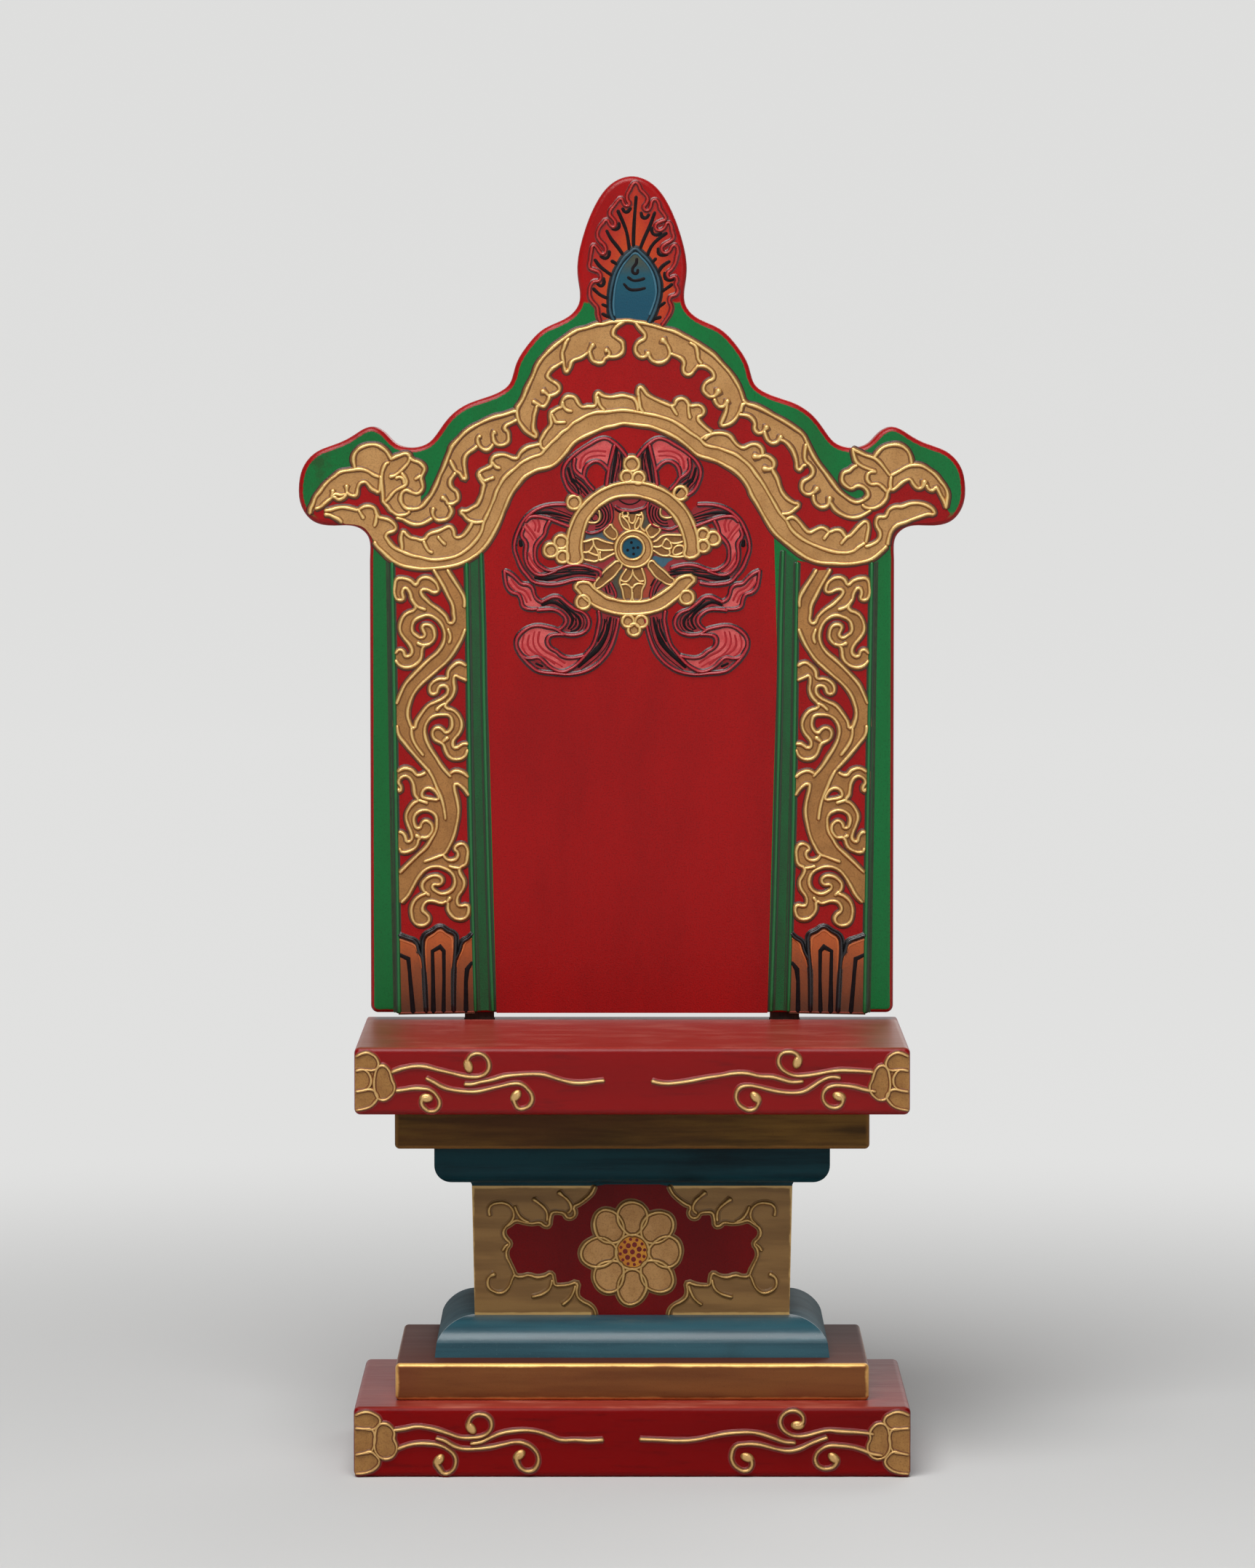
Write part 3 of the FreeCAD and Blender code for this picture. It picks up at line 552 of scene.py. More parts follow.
def stepFinish(name, low, high, colours):
    paint = Paint(name)
    _, y, z = paint.axes()
    streak = paint.grain(7, 5, (0.08, 1, 1))
    broad = paint.grain(30, 3, (0.4, 1, 1), 6.0)
    fine = paint.dust()
    colour = paint.blend(paint.ramp(streak, 0.35, 0.68), colours["base"], colours["worn"])
    colour = paint.over(colour, colours["red"], broad, 0.42, 0.7, 0.7)
    # The lying top is painted darker: painted shade.
    lying = paint.ramp((z - high.z) * perMetre, -0.6, -0.1) * paint.ramp((y - low.y) * perMetre, 1.2, 2.2)
    colour = paint.blend(lying * 0.9, colour, colours["lying"])
    # The front edges are painted a light gold in patches, with some metal: a painted highlight.
    edges = boxEdges(paint, low, high, 1.5) * (0.55 + 0.6 * paint.grain(6, 3, (0.3, 1, 1), 8.0))
    colour = paint.blend(edges * colours["bright"], colour, colours["edge"])
    colour = paint.over(colour, colours["fine"], fine, 0.55, 0.8, 0.35)
    metal = colours["metal"] + edges * (0.35 * colours["bright"])
    return paint.finish(colour, 0.36 + streak * 0.14 + lying * 0.25, metal * (1 - lying),
                        streak * 0.6 + fine * 0.4, 0.12, 0.0, colours["specular"])


def mouldingFinish(name, low, high, colours):
    paint = Paint(name)
    streak = paint.grain(5, 5, (0.06, 1, 1))
    broad = paint.grain(24, 3, (0.5, 1, 1), 6.0)
    fine = paint.dust()
    colour = paint.blend(paint.ramp(streak, 0.35, 0.68), colours["base"], colours["worn"])
    colour = paint.over(colour, colours["deep"], broad, 0.5, 0.75, 0.6)
    colour = paint.over(colour, colours["fine"], fine, 0.6, 0.8, 0.3)
    x, y, _ = paint.axes()
    # Faces toward the ends and set back from the front are painted half toward the deep colour: painted
    # shade.
    beside = paint.ramp((y - low.y + abs(x) - high.x) * perMetre, 0.2, 1.6)
    colour = paint.blend(beside * 0.5, colour, colours["deep"])
    return paint.finish(colour, 0.31 + streak * 0.14 + beside * 0.3, 0.0,
                        streak * 0.6 + fine * 0.4, 0.12, (1 - beside) * colours["coat"],
                        colours["specular"])


def waistFinish():
    paint = Paint("waistGilding")
    x, y, _ = paint.axes()
    streak = paint.grain(5, 5, (0.1, 1, 1))
    fine = paint.dust()
    # The gilding is written darker than the board's: painted shade under the seat's overhang.
    colour = paint.blend(paint.ramp(streak, 0.35, 0.68), srgb(140, 104, 56), srgb(118, 84, 42))
    # The front edges are painted a light gold: a painted highlight.
    edges = boxEdges(paint, waistLow, waistHigh, 1.1)
    colour = paint.blend(edges * 0.7, colour, srgb(226, 186, 116))
    middle = 1 - paint.ramp(abs(x) * perMetre, 13.4, 14.0)
    frontal = 1 - paint.ramp((y - waistLow.y) * perMetre, 1.5, 2.0)
    colour = paint.blend(middle * frontal, colour, waistRed["base"])
    colour = paint.over(colour, srgb(100, 66, 30), fine, 0.55, 0.8, 0.35)
    metal = 0.3 - 0.3 * (middle * frontal)
    return paint.finish(colour, 0.38 + streak * 0.14, metal, streak * 0.5 + fine * 0.5, 0.1, 0.0)


def tenonFinish():
    paint = Paint("bareTenonWood")
    rings = paint.grain(1.6, 5, (1, 1, 0.08))
    colour = paint.blend(paint.ramp(rings, 0.3, 0.7), srgb(70, 40, 26), srgb(38, 22, 16))
    return paint.finish(colour, 0.7 + rings * 0.15, 0.0, rings, 0.15, 0.0)


dress("back_board", boardFinish())
dress("seat_slab", slabFinish("seatSlabPaint", seatHigh, slabReds["seat"]))
dress("base_slab", slabFinish("baseSlabPaint", baseHigh, slabReds["base"]))
for level in ("upper", "lower"):
    for kind, finishOf, colours in (("step", stepFinish, stepBronze),
                                    ("moulding", mouldingFinish, mouldingTeal)):
        node = level + "_" + kind
        paintName = level + {"step": "StepBronze", "moulding": "MouldingTeal"}[kind]
        dress(node, finishOf(paintName, *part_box(node), colours[level]))
dress("waist_block", waistFinish())
for tenonNode in ("left_tenon", "right_tenon", "lower_dowels", "upper_dowels"):
    dress(tenonNode, tenonFinish())
print("finishes are ready")


# gilt work on the back board, which most of its ornament is

lineHalf = {"arch": 0.0007, "leaf": 0.00066, "scroll": 0.00064, "wheel": 0.00064, "hub": 0.00052,
            "waistFlower": 0.0006, "waistLeaf": 0.00055, "tendril": 0.00056, "slabFlower": 0.0005}
hair = 0.00001  # the step that keeps overlapping flat paint apart


def goldPipe(name, lines, closedLines, half, *nodes):
    made = pipe(name, board, lines, closedLines, half, boardRise, goldBoardBead)
    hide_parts(*nodes)


def goldPlates(name, face, fills, lift, turns):  # each fill a hair above the one before
    for number, fill in enumerate(fills):
        plate(name + str(number + 1), face, [fill], lift + number % turns * hair, goldFlat,
              "gilt_paste")


# the head's outlines: left half, then right half

crownTop = [
    (880, 440), (866, 441), (857, 441), (845, 444), (838, 444), (831, 446), (822, 449), (812, 451),
    (805, 454), (797, 459), (787, 466), (779, 472), (771, 479), (764, 486), (758, 493), (753, 501),
    (749, 511), (744, 521), (739, 531), (735, 541), (730, 550), (726, 556), (725, 562)]
crownTopRight = [
    (890, 442), (900, 443.5), (913, 447), (929, 452), (943, 456), (956, 463), (969, 470), (982, 479),
    (995, 488.5), (1006, 500.5), (1017, 513), (1025, 525), (1031, 537), (1035, 550)]
archTop = [
    (880, 563), (870, 562), (857, 563), (847, 564), (836, 564), (827, 566), (819, 569), (810, 574),
    (801, 579), (794, 586), (786, 591), (779, 598), (771, 605), (766, 610), (762, 614), (757, 620),
    (748, 623), (738, 627), (729, 632), (721, 639), (712, 646), (705, 653), (700, 661), (695, 670),
    (692, 679), (688, 688), (684, 697), (680, 705), (677, 711), (673, 725), (664, 738), (651, 750),
    (637, 758), (622, 761), (605, 762), (588, 758), (579, 756), (571, 753), (564, 750), (554, 745),
    (548, 739), (544, 733)]
archTopRight = [
    (890, 565), (900, 567), (913, 569.4), (924, 572.6), (937, 577.4), (950, 585.4), (962.6, 595),
    (975.4, 604), (982, 611), (988, 613.5), (999.4, 616), (1012, 620.7), (1023.5, 625.5), (1033, 632.7),
    (1042.7, 641.5), (1050.7, 652.8), (1058.7, 664), (1069, 682), (1076, 694.6), (1083, 707),
    (1091.4, 717), (1097.7, 728.7), (1108.5, 739.5), (1122.8, 748.5), (1137, 754.8), (1151.5, 760),
    (1167.7, 762.8), (1182, 761), (1189, 755.7), (1198, 750.3)]
archFoot = [
    (880, 581), (870, 580), (857, 583), (845, 585), (835, 589), (825, 593), (816, 597), (808, 601),
    (800, 607), (792, 617), (780, 630), (772, 636), (762, 639), (752, 641), (743, 645), (733, 651),
    (725, 660), (718, 669), (712, 679), (708, 688), (704, 697), (700, 707), (691, 725), (676, 747),
    (658, 761), (640, 769), (625, 772), (602, 774), (589, 774), (576, 772), (564, 769), (554, 764),
    (545, 757), (537, 749), (530, 742), (527, 737)]
archFootRight = [
    (895, 583), (908, 585), (921, 590), (934, 596), (946, 603), (959, 613.5), (972, 625), (985, 629.5),
    (998, 634), (1009, 640), (1022, 648), (1033, 659), (1041, 672), (1044, 680), (1052, 694),
    (1060, 709), (1065, 718), (1074, 732), (1085, 743), (1096, 752), (1108.5, 762), (1121, 770),
    (1137, 775.5), (1155, 777), (1175, 778), (1193, 776), (1207, 772), (1218, 764), (1228, 755)]
shoulderEdge = [
    (722, 561), (715, 563), (705, 566), (695, 568), (684, 572), (673, 577), (663, 582), (653, 589),
    (646, 596), (640, 602), (635, 608), (632, 615), (629, 622), (626, 630), (622, 639), (618, 647),
    (614, 657), (610, 665), (605, 674), (599, 681), (594, 687), (588, 691)]
shoulderEdgeRight = [
    (1035, 551), (1040, 556), (1052, 560), (1066, 567), (1076, 573), (1091, 581.5), (1105, 591),
    (1116, 600), (1122, 612), (1128, 626), (1137, 641), (1146, 653), (1155, 666), (1164, 678),
    (1173, 686), (1182, 692), (1189, 694), (1198, 691)]
blossomEdge = [
    (502, 636), (501, 630), (500, 624), (501, 617), (505, 611), (510, 607), (518, 604), (526, 603),
    (533, 604), (539, 607), (545, 612), (549, 618), (552, 623), (558, 620), (564, 618), (571, 616),
    (576, 618), (577, 622), (583, 626), (589, 628), (594, 632), (597, 637), (595, 643), (592, 649),
    (593, 655), (594, 662), (592, 667)]
blossomLobes = [
    (1189, 643.5), (1184, 646), (1178.5, 650.6), (1171.3, 653.3), (1168.6, 659.6), (1169.5, 666),
    (1175, 672), (1182, 675), (1187.4, 672), (1192.8, 671.3), (1200, 675), (1203.6, 680.3),
    (1203.6, 685.6), (1198, 691)]
blossomCap = [
    (1212.6, 633.6), (1218, 626.4), (1225, 620), (1236, 616.5), (1246.7, 616.5), (1255.7, 621),
    (1261, 628), (1263.7, 637), (1263.7, 642.6), (1259, 646)]
earEdge = [
    (439, 695), (440, 689), (443, 683), (447, 673), (453, 666), (459, 658), (466, 651), (474, 645),
    (481, 640), (491, 638), (499, 637), (506, 636), (514, 637), (521, 640), (527, 644), (534, 647)]
earEdgeRight = [
    (1236, 658), (1248.5, 651.5), (1259, 646), (1270, 644.4), (1279, 646), (1288, 651.5), (1297, 658.7),
    (1304, 667.7), (1310.4, 676.7), (1313, 685.6), (1311.3, 696.4), (1310.4, 703)]
earUnderside = [(443, 696), (452, 703), (480, 709), (500, 712), (512, 716), (519, 724), (524, 731)]
earUndersideRight = [
    (1230, 745), (1232, 738), (1236, 731), (1243, 726), (1250, 724), (1290, 724), (1308, 721),
    (1316, 712)]


def backwards(points):
    return list(reversed(points))


def along(line, low, high):  # the part of a line between two places across the head
    return [spot for spot in line if low <= spot[0] <= high]


headGround = backwards(crownTopRight) + crownTop + shoulderEdge + [(588, 680)]
headGround = headGround + backwards(blossomEdge) + backwards(earEdge[:11]) + earUnderside
headGround = headGround + backwards(archFoot) + archFootRight + earUndersideRight
headGround = headGround + backwards(earEdgeRight[3:]) + backwards(blossomCap)
headGround = headGround + [(1201.8, 630), (1192.8, 625.5), (1184, 621), (1185.7, 630)]
headGround = headGround + blossomLobes[:-1] + backwards(shoulderEdgeRight)
pillarGround = [
    (547, 758), (600, 772), (652, 764), (650, 900), (649, 1100), (650, 1388), (546, 1388), (546, 1200),
    (547, 1000), (548, 850)]
openingTop = [(x, y - 8) for x, y in backwards(archFootRight[:18]) + archFoot[:24]]
openingSide = [(677, 900), (679, 1100), (681, 1388)]
middleGround = placed(board, openingTop + openingSide)
middleGround = middleGround + backwards(placed(board, openingSide, -1))

plate("headRedGround", board, [placed(board, headGround)], 0.00004, redFlat, "crimson_paste", True)
plate("pillarRedGround", board, bothSides(board, [pillarGround]), 0.00003, redFlat,
      "crimson_paste", True)
plate("middleRedGround", board, [middleGround], 0.00003, redFlat, "crimson_paste", True)
print("red grounds are on")


# the arch band

topLine = placed(board, backwards(archTop) + archTopRight)
footLine = placed(board, backwards(archFoot) + archFootRight)
goldPipe("archBandPiping", [topLine, footLine], [], lineHalf["arch"], "arch_band")
plate("archBandGilding", board, [topLine + backwards(footLine)], 0.00016, goldFlat, "gilt_paste")


# crown leaves and fronds: each has its gilt outline and the lines piped on it

def kept(lobes):  # the parts of lobed lines that bound the gilding
    found = []
    for line, count in lobes:
        same = found and math.hypot(found[-1][0] - line[0][0], found[-1][1] - line[0][1]) < 2
        found = found + line[1 if same else 0:count]
    return found


crownLobes = [
    (750, 597), (751, 592), (748, 588), (747, 582), (748, 573), (749, 566), (751, 560), (753, 554),
    (758, 554), (762, 555), (765, 552), (768, 547), (770, 542), (776, 539), (781, 536), (784, 532),
    (783, 527), (780, 524), (775, 521), (770, 517), (768, 514), (769, 510), (771, 507), (775, 503),
    (780, 500), (785, 497), (789, 493), (791, 501), (792, 505), (794, 508), (797, 505), (799, 501),
    (800, 497), (803, 493), (808, 491), (814, 489), (819, 486), (825, 482), (828, 489), (831, 494),
    (835, 496), (839, 497), (844, 496), (847, 491), (851, 488), (860, 489), (866, 487), (870, 484),
    (872, 479), (872, 474), (871, 469), (866, 465), (862, 462), (859, 459), (859, 454), (861, 450),
    (864, 447), (868, 444), (874, 441)]
crownTip = [(725, 562), (727, 573), (731, 580), (736, 587), (742, 592), (750, 597)]
crownLobesRight = [
    ([(890, 443), (896, 451), (900, 455.6), (902.5, 459.6), (901, 465), (895, 468.5), (890.4, 473),
      (888.8, 480), (891.3, 486), (897, 490), (902.5, 489), (906.5, 485.3, 1.4)], 11),
    ([(907, 487), (909.7, 492.5), (914.5, 496.5), (921.7, 498), (929, 495.7), (933.7, 491), (936, 486),
      (935.3, 479.7), (932, 473), (926.5, 467, 1.6)], 7),
    ([(937, 486), (945, 489), (952, 493), (955.4, 499), (953.8, 507), (957, 514), (962.6, 515),
      (969, 508.5), (973.8, 503)], 9),
    ([(975.4, 503.7), (981.8, 503.7), (989.8, 507.7), (995.4, 515), (994.6, 521), (988, 524.6),
      (982.6, 529.4), (981, 536), (985, 542), (991.4, 546), (997, 544), (1001.8, 538, 1.5)], 10),
    ([(996, 550), (999.4, 556.6), (1005.8, 560), (1010.6, 556.6), (1013.8, 552, 1.4)], 4),
    ([(1013, 556), (1011.4, 566), (1007.4, 576), (1005, 584.6), (1012, 584.6), (1020, 580.6),
      (1026.7, 572.6), (1030.7, 564.6), (1034, 556.6)], 9)]
frondLow = [
    (564, 748), (564, 741), (563, 733), (564, 726), (566, 723), (571, 727), (576, 731), (584, 733),
    (592, 735), (596, 733), (600, 728), (606, 725), (614, 723), (621, 720), (630, 717), (635, 722),
    (637, 731), (644, 732), (655, 722), (661, 712)]
frondLowRight = [
    (1091.4, 716), (1099.5, 712.6), (1108.5, 719), (1115.6, 728), (1122.8, 734), (1130, 731.4),
    (1139, 728), (1146, 730.5), (1150, 734), (1158.7, 731.4), (1166.8, 733), (1171.3, 739.5),
    (1175, 741), (1184, 734), (1192.8, 725), (1201, 720.7), (1203.6, 725), (1202.7, 736), (1200, 748.5)]
frondMiddle = [
    (757, 606), (749, 608), (740, 610), (733, 614), (728, 619), (724, 625), (719, 625), (712, 622),
    (705, 620), (697, 621), (692, 623), (689, 628), (689, 634), (685, 637), (680, 639), (674, 642),
    (671, 646), (672, 651), (675, 656), (678, 660), (677, 665), (675, 674), (672, 681), (668, 688),
    (661, 692), (654, 696), (646, 697), (650, 702), (654, 707), (661, 711), (669, 712), (676, 711)]
frondMiddleRight = [
    ([(981.8, 603), (988, 598), (996, 596), (1009, 596.7), (1017, 600.7), (1022, 608), (1028, 614),
      (1034.7, 616.7), (1041, 614), (1048, 612), (1055.5, 614), (1060.3, 620.7), (1058.7, 628),
      (1049, 628.7, 1.5)], 13),
    ([(1058.7, 628), (1065, 628), (1073, 632.7), (1076, 638), (1073, 645.5), (1062, 645.5, 1.5)], 5),
    ([(1073, 646), (1074.7, 650), (1079.6, 659), (1082.8, 670), (1087, 680), (1094, 688), (1103, 693.7),
      (1108.5, 695.5), (1103, 701.8), (1096, 707), (1086, 708)], 11)]
frondTop = [
    (890.4, 563), (890.4, 556.6), (886, 547), (879, 544), (870, 542), (862, 543), (855, 544),
    (847, 543), (842, 541), (838, 538), (836, 538), (834, 542), (834, 549), (833, 554), (830, 556),
    (822, 556), (816, 557), (811, 554), (808, 549), (805, 544), (800, 542), (795, 542), (791, 544),
    (788, 548), (787, 552), (786, 556), (781, 558), (776, 561), (772, 564), (771, 567), (771, 571),
    (772, 577), (771, 581), (767, 586), (763, 591), (760, 596), (757, 601), (756, 606)]
frondTopRight = [
    (892, 542), (891.3, 536.6), (894.5, 531), (899.3, 535), (903.3, 540.6), (911, 546), (921, 551),
    (930.5, 555), (937, 557.4), (941, 556), (943.3, 551), (948, 548), (954.6, 548.6), (958.6, 552.6),
    (961.8, 557.4), (973.8, 557.4), (979.4, 560.6), (981, 566), (977.8, 571), (973, 573.4),
    (973.8, 578), (978.6, 584), (985, 590), (990.6, 596), (983.4, 599), (975.4, 604)]
crownFills = [
    crownTop[1:] + crownTip[1:] + crownLobes[1:],
    crownTopRight + backwards(kept(crownLobesRight)),
    frondLow + along(archTop, 588, 677),
    frondLowRight + backwards(along(archTopRight, 1091, 1199)),
    frondMiddle + backwards(along(archTop, 680, 757)),
    kept(frondMiddleRight) + backwards(along(archTopRight, 982, 1084)),
    frondTop + backwards(along(archTop, 762, 880)),
    [(891, 564)] + frondTopRight + backwards(along(archTopRight, 899, 963)),
]
crownLines = [
    backwards(crownTop) + crownTopRight, crownTip, frondLow, frondLowRight, frondMiddle, frondTop,
    frondTopRight, crownLobes[:10] + [(765, 552), (768, 547), (770, 542)],
    [(748, 548, 1.2), (753, 551), (758, 554)],
    [(761, 534, 1.3), (766, 537), (769, 540)] + crownLobes[13:26] + [(789, 495)],
    [(798, 463), (795, 466), (793, 470), (791, 476), (789, 481), (789, 488), (790, 493)]
    + crownLobes[27:37]
    + [(824, 482), (826, 480), (828, 476), (831, 472, 1.3)],
    [(826, 481)] + crownLobes[38:44] + [(851, 489), (853, 485), (852, 481), (849, 480, 1.3)],
    crownLobes[44:], [(964, 471.7), (971.4, 476.5), (973.8, 486), (974.6, 494), (978.6, 499.7)],
    [(594, 737), (597, 744), (601, 750), (605, 752)], [(614, 731), (618, 736), (623, 741)],
    [(1149, 735), (1142.6, 743)], [(1174, 741), (1166, 750)],
    [(690, 630), (693, 634), (696, 637), (700, 638)],
    [(673, 647), (676, 653), (680, 655), (685, 653), (691, 651)],
    [(788, 550), (789, 555), (791, 558), (795, 561), (800, 562)],
    [(773, 566), (776, 572), (778, 576), (782, 577), (791, 577)],
    [(836, 544), (837, 550), (839, 555), (842, 559), (845, 562)], [(756, 606), (758, 611), (762, 614)],
    [(892, 542), (893, 552), (894.5, 560), (898.5, 565.4)], [(937, 557.4), (940, 563), (944, 569.4)],
    [(960, 556), (960.2, 566), (961.8, 574)]]
crownLines = crownLines + [line for line, count in crownLobesRight + frondMiddleRight]
goldPipe("crownLeafPiping", onto(crownLines), [], lineHalf["leaf"],
         "left_crown_leaf", "right_crown_leaf")
goldPlates("crownLeafGilding", board, onto(crownFills), 0.00011, 4)
print("arch band and crown leaves are on")


# shoulder leaves, ear blossoms, ear leaves and the tail leaves below them

shoulderLobes = [
    (724, 573), (716, 577), (710, 580), (708, 584), (712, 589), (713, 596), (712, 602), (707, 606),
    (702, 607), (696, 605), (693, 601), (691, 606), (688, 610), (683, 613), (677, 611), (673, 607),
    (669, 608), (664, 612), (658, 616), (654, 620), (652, 625), (652, 637), (653, 644), (652, 652),
    (645, 644), (639, 644), (635, 649), (632, 654), (632, 660), (635, 665), (640, 669), (642, 674),
    (642, 680), (638, 684), (633, 686), (629, 686), (630, 689), (633, 695), (631, 701), (627, 706),
    (621, 708), (614, 708), (609, 705), (605, 706), (598, 710), (590, 713), (581, 713), (573, 710),
    (566, 706), (558, 704)]
shoulderLobesRight = [
    ([(1030, 571), (1041, 572.6), (1047.5, 577.4), (1050.7, 584), (1050, 590), (1054, 596),
      (1058.7, 596.7), (1062.7, 593.5), (1066.7, 588.7, 1.4)], 7),
    ([(1063.5, 595), (1066, 603), (1070, 608.7), (1076, 611), (1082, 608), (1086, 602.3, 1.4)], 5),
    ([(1084, 606), (1091, 608.7), (1098.8, 616.7), (1103.6, 625.5), (1106.8, 638), (1107.6, 646),
      (1111, 648), (1115.6, 642.6), (1119, 641.7)], 9),
    ([(1124.6, 641), (1129, 648), (1128, 655), (1122, 660.5), (1115.6, 664), (1113, 671),
      (1115.6, 678.5), (1122.8, 682), (1129, 679.4), (1134.5, 674, 1.5)], 8),
    ([(1129, 684), (1130, 691), (1135.4, 698), (1142.6, 700), (1149, 696.4), (1151.5, 687.4, 1.5)], 5),
    ([(1151, 692), (1153.3, 695.5), (1158.7, 703.6), (1167.7, 710), (1178.5, 714.4), (1189, 714.4),
      (1198, 710.8), (1207, 705.4)], 8)]
blossomFold = [
    (539, 680), (542, 684), (546, 688), (549, 693), (553, 696), (559, 700), (566, 700), (571, 699),
    (575, 696)]
blossomUnder = [
    (1235, 675), (1230.5, 682), (1229.6, 687.4), (1225, 694.6), (1218, 700), (1209, 702.7), (1200, 701),
    (1196.4, 698)]
earFoot = [
    (537, 647), (536, 660), (533, 668), (529, 666), (524, 663), (520, 658), (516, 654), (512, 654),
    (508, 656), (505, 662), (504, 668), (502, 672), (497, 672), (493, 670), (490, 668), (487, 673),
    (483, 676), (478, 677), (474, 674), (470, 672), (468, 675), (464, 678), (459, 682), (453, 687),
    (447, 689)]
earFootRight = [
    ([(1236, 660.5), (1235, 675), (1236.8, 677.6), (1241, 676), (1248.5, 669.5), (1255.7, 665),
      (1262, 664), (1265.5, 669.5), (1270, 675), (1273.6, 676.7), (1278, 675), (1281.7, 667.7, 1.4)],
     11),
    ([(1284.4, 673), (1288, 678.5), (1292.5, 679.4), (1297.8, 676), (1300.5, 680), (1304, 687.4),
      (1308.6, 696.4), (1310.4, 703.6)], 8)]
tailEdge = [
    (460, 692), (468, 691), (475, 689), (483, 688), (492, 689), (499, 691), (505, 692), (510, 689),
    (517, 687), (524, 688), (528, 691), (530, 697), (533, 702), (539, 704), (546, 706), (552, 710),
    (556, 716), (554, 721), (549, 723), (544, 725), (542, 729), (544, 733)]
tailEdgeRight = [
    (1200, 754.8), (1209, 752), (1218, 745), (1219.8, 736), (1216, 728.7), (1214.4, 721.5), (1218, 715),
    (1227, 714.4), (1232.3, 705.4), (1241, 701), (1250, 701), (1261, 697.3), (1275.4, 697.3),
    (1286, 701), (1293.3, 707), (1294.2, 711.7), (1286, 711.7), (1273.6, 715.3), (1262.8, 719),
    (1254, 722.5), (1243, 726), (1235, 734), (1231, 745), (1229.5, 752)]
vineFills = [
    shoulderEdge + [(575, 696), (566, 700), (559, 700)] + backwards(shoulderLobes),
    shoulderEdgeRight + [(1205, 701)] + backwards(kept(shoulderLobesRight)),
    blossomEdge + [(588, 691)] + backwards(blossomFold)
    + [(539, 670), (538, 660), (538, 651), (537, 647), (527, 644), (521, 640), (514, 637), (506, 636)],
    [(1184, 621), (1192.8, 625.5), (1201.8, 630)] + blossomCap + [(1248.5, 651.5), (1236, 660.5)]
    + blossomUnder
    + backwards(blossomLobes)
    + [(1189, 639), (1185.7, 630)],
    earEdge + earFoot, earEdgeRight + backwards(kept(earFootRight)),
    tailEdge
    + [(554, 745), (530, 742), (527, 737), (519, 724), (512, 716), (500, 712), (482, 709), (478, 704),
       (472, 701), (466, 698), (460, 697)],
    tailEdgeRight + [(1218, 763)]]
vineLines = [
    [(725, 561)] + shoulderEdge
    + [(583, 692), (577, 692), (571, 690), (566, 685), (563, 679), (564, 673), (567, 668), (572, 666),
       (577, 668), (581, 670), (587, 671), (592, 667)],
    shoulderLobes[:10] + [(693, 601), (692, 596), (692, 591), (694, 589, 1.2)],
    shoulderLobes[11:16] + [(671, 602), (671, 596), (674, 594, 1.2)],
    shoulderLobes[16:25] + [(640, 641), (637, 636), (634, 630), (633, 627)],
    shoulderLobes[25:35] + [(628, 685), (626, 681), (621, 677, 1.2)],
    shoulderLobes[36:42] + [(609, 704), (607, 699), (607, 695), (608, 692, 1.2)], shoulderLobes[43:],
    shoulderEdgeRight, earEdge, earEdgeRight, blossomLobes, blossomCap, blossomUnder,
    [(1039, 555), (1034, 558), (1031.5, 566)],
    [(1120, 614), (1118.3, 624.6), (1119, 635.4), (1124.6, 641)],
    backwards(earFoot[20:]) + [(470, 670), (471, 665, 1.2)],
    earFoot[14:20] + [(489, 670), (490, 664), (490, 659, 1.2)], backwards(earFoot[:15]),
    blossomEdge[:13],
    blossomEdge[12:18] + [(575, 628), (571, 633), (566, 638), (560, 643), (555, 646), (550, 647)],
    blossomEdge[17:],
    [(539, 680), (539, 670), (538, 660), (538, 651), (539, 641), (542, 633), (545, 629), (548, 628)],
    [(566, 643), (569, 647), (571, 650), (572, 656), (569, 660), (563, 663), (556, 667), (551, 672),
     (547, 677), (543, 681)],
    [(558, 649), (563, 648), (568, 651), (569, 656)], [(584, 651), (588, 649), (591, 647)],
    [(564, 674), (564, 680), (566, 686), (571, 691), (579, 692)], blossomFold, tailEdge, tailEdgeRight,
    [(506, 693), (509, 698), (512, 703)], [(530, 700), (529, 708), (527, 714)],
    [(460, 697), (466, 698), (472, 701), (478, 704), (482, 708)],
    [(1184, 622), (1185.7, 630), (1189, 639), (1194.6, 643.5), (1203.6, 648), (1214.4, 652.4)],
    [(1184, 621), (1192.8, 625.5), (1201.8, 630), (1212.6, 633.6), (1219.8, 639), (1227, 648),
     (1234, 657.8)],
    [(1214, 652.4), (1207, 653.3), (1203.6, 657), (1203.6, 664), (1209, 669.5), (1218, 669.5),
     (1225, 675), (1229.6, 680.3)]]
vineLines = vineLines + [line for line, count in shoulderLobesRight + earFootRight]
goldPipe("shoulderVinePiping", onto(vineLines), [], lineHalf["leaf"],
         "left_shoulder_vine", "right_shoulder_vine")
for number, fill in enumerate(vineFills):
    plate("shoulderVineGilding" + str(number + 1), board, onto([fill]),
          0.0001 + number % 8 // 2 * hair, goldFlat, "gilt_paste")
print("shoulder vines are on")


# pillar scrolls

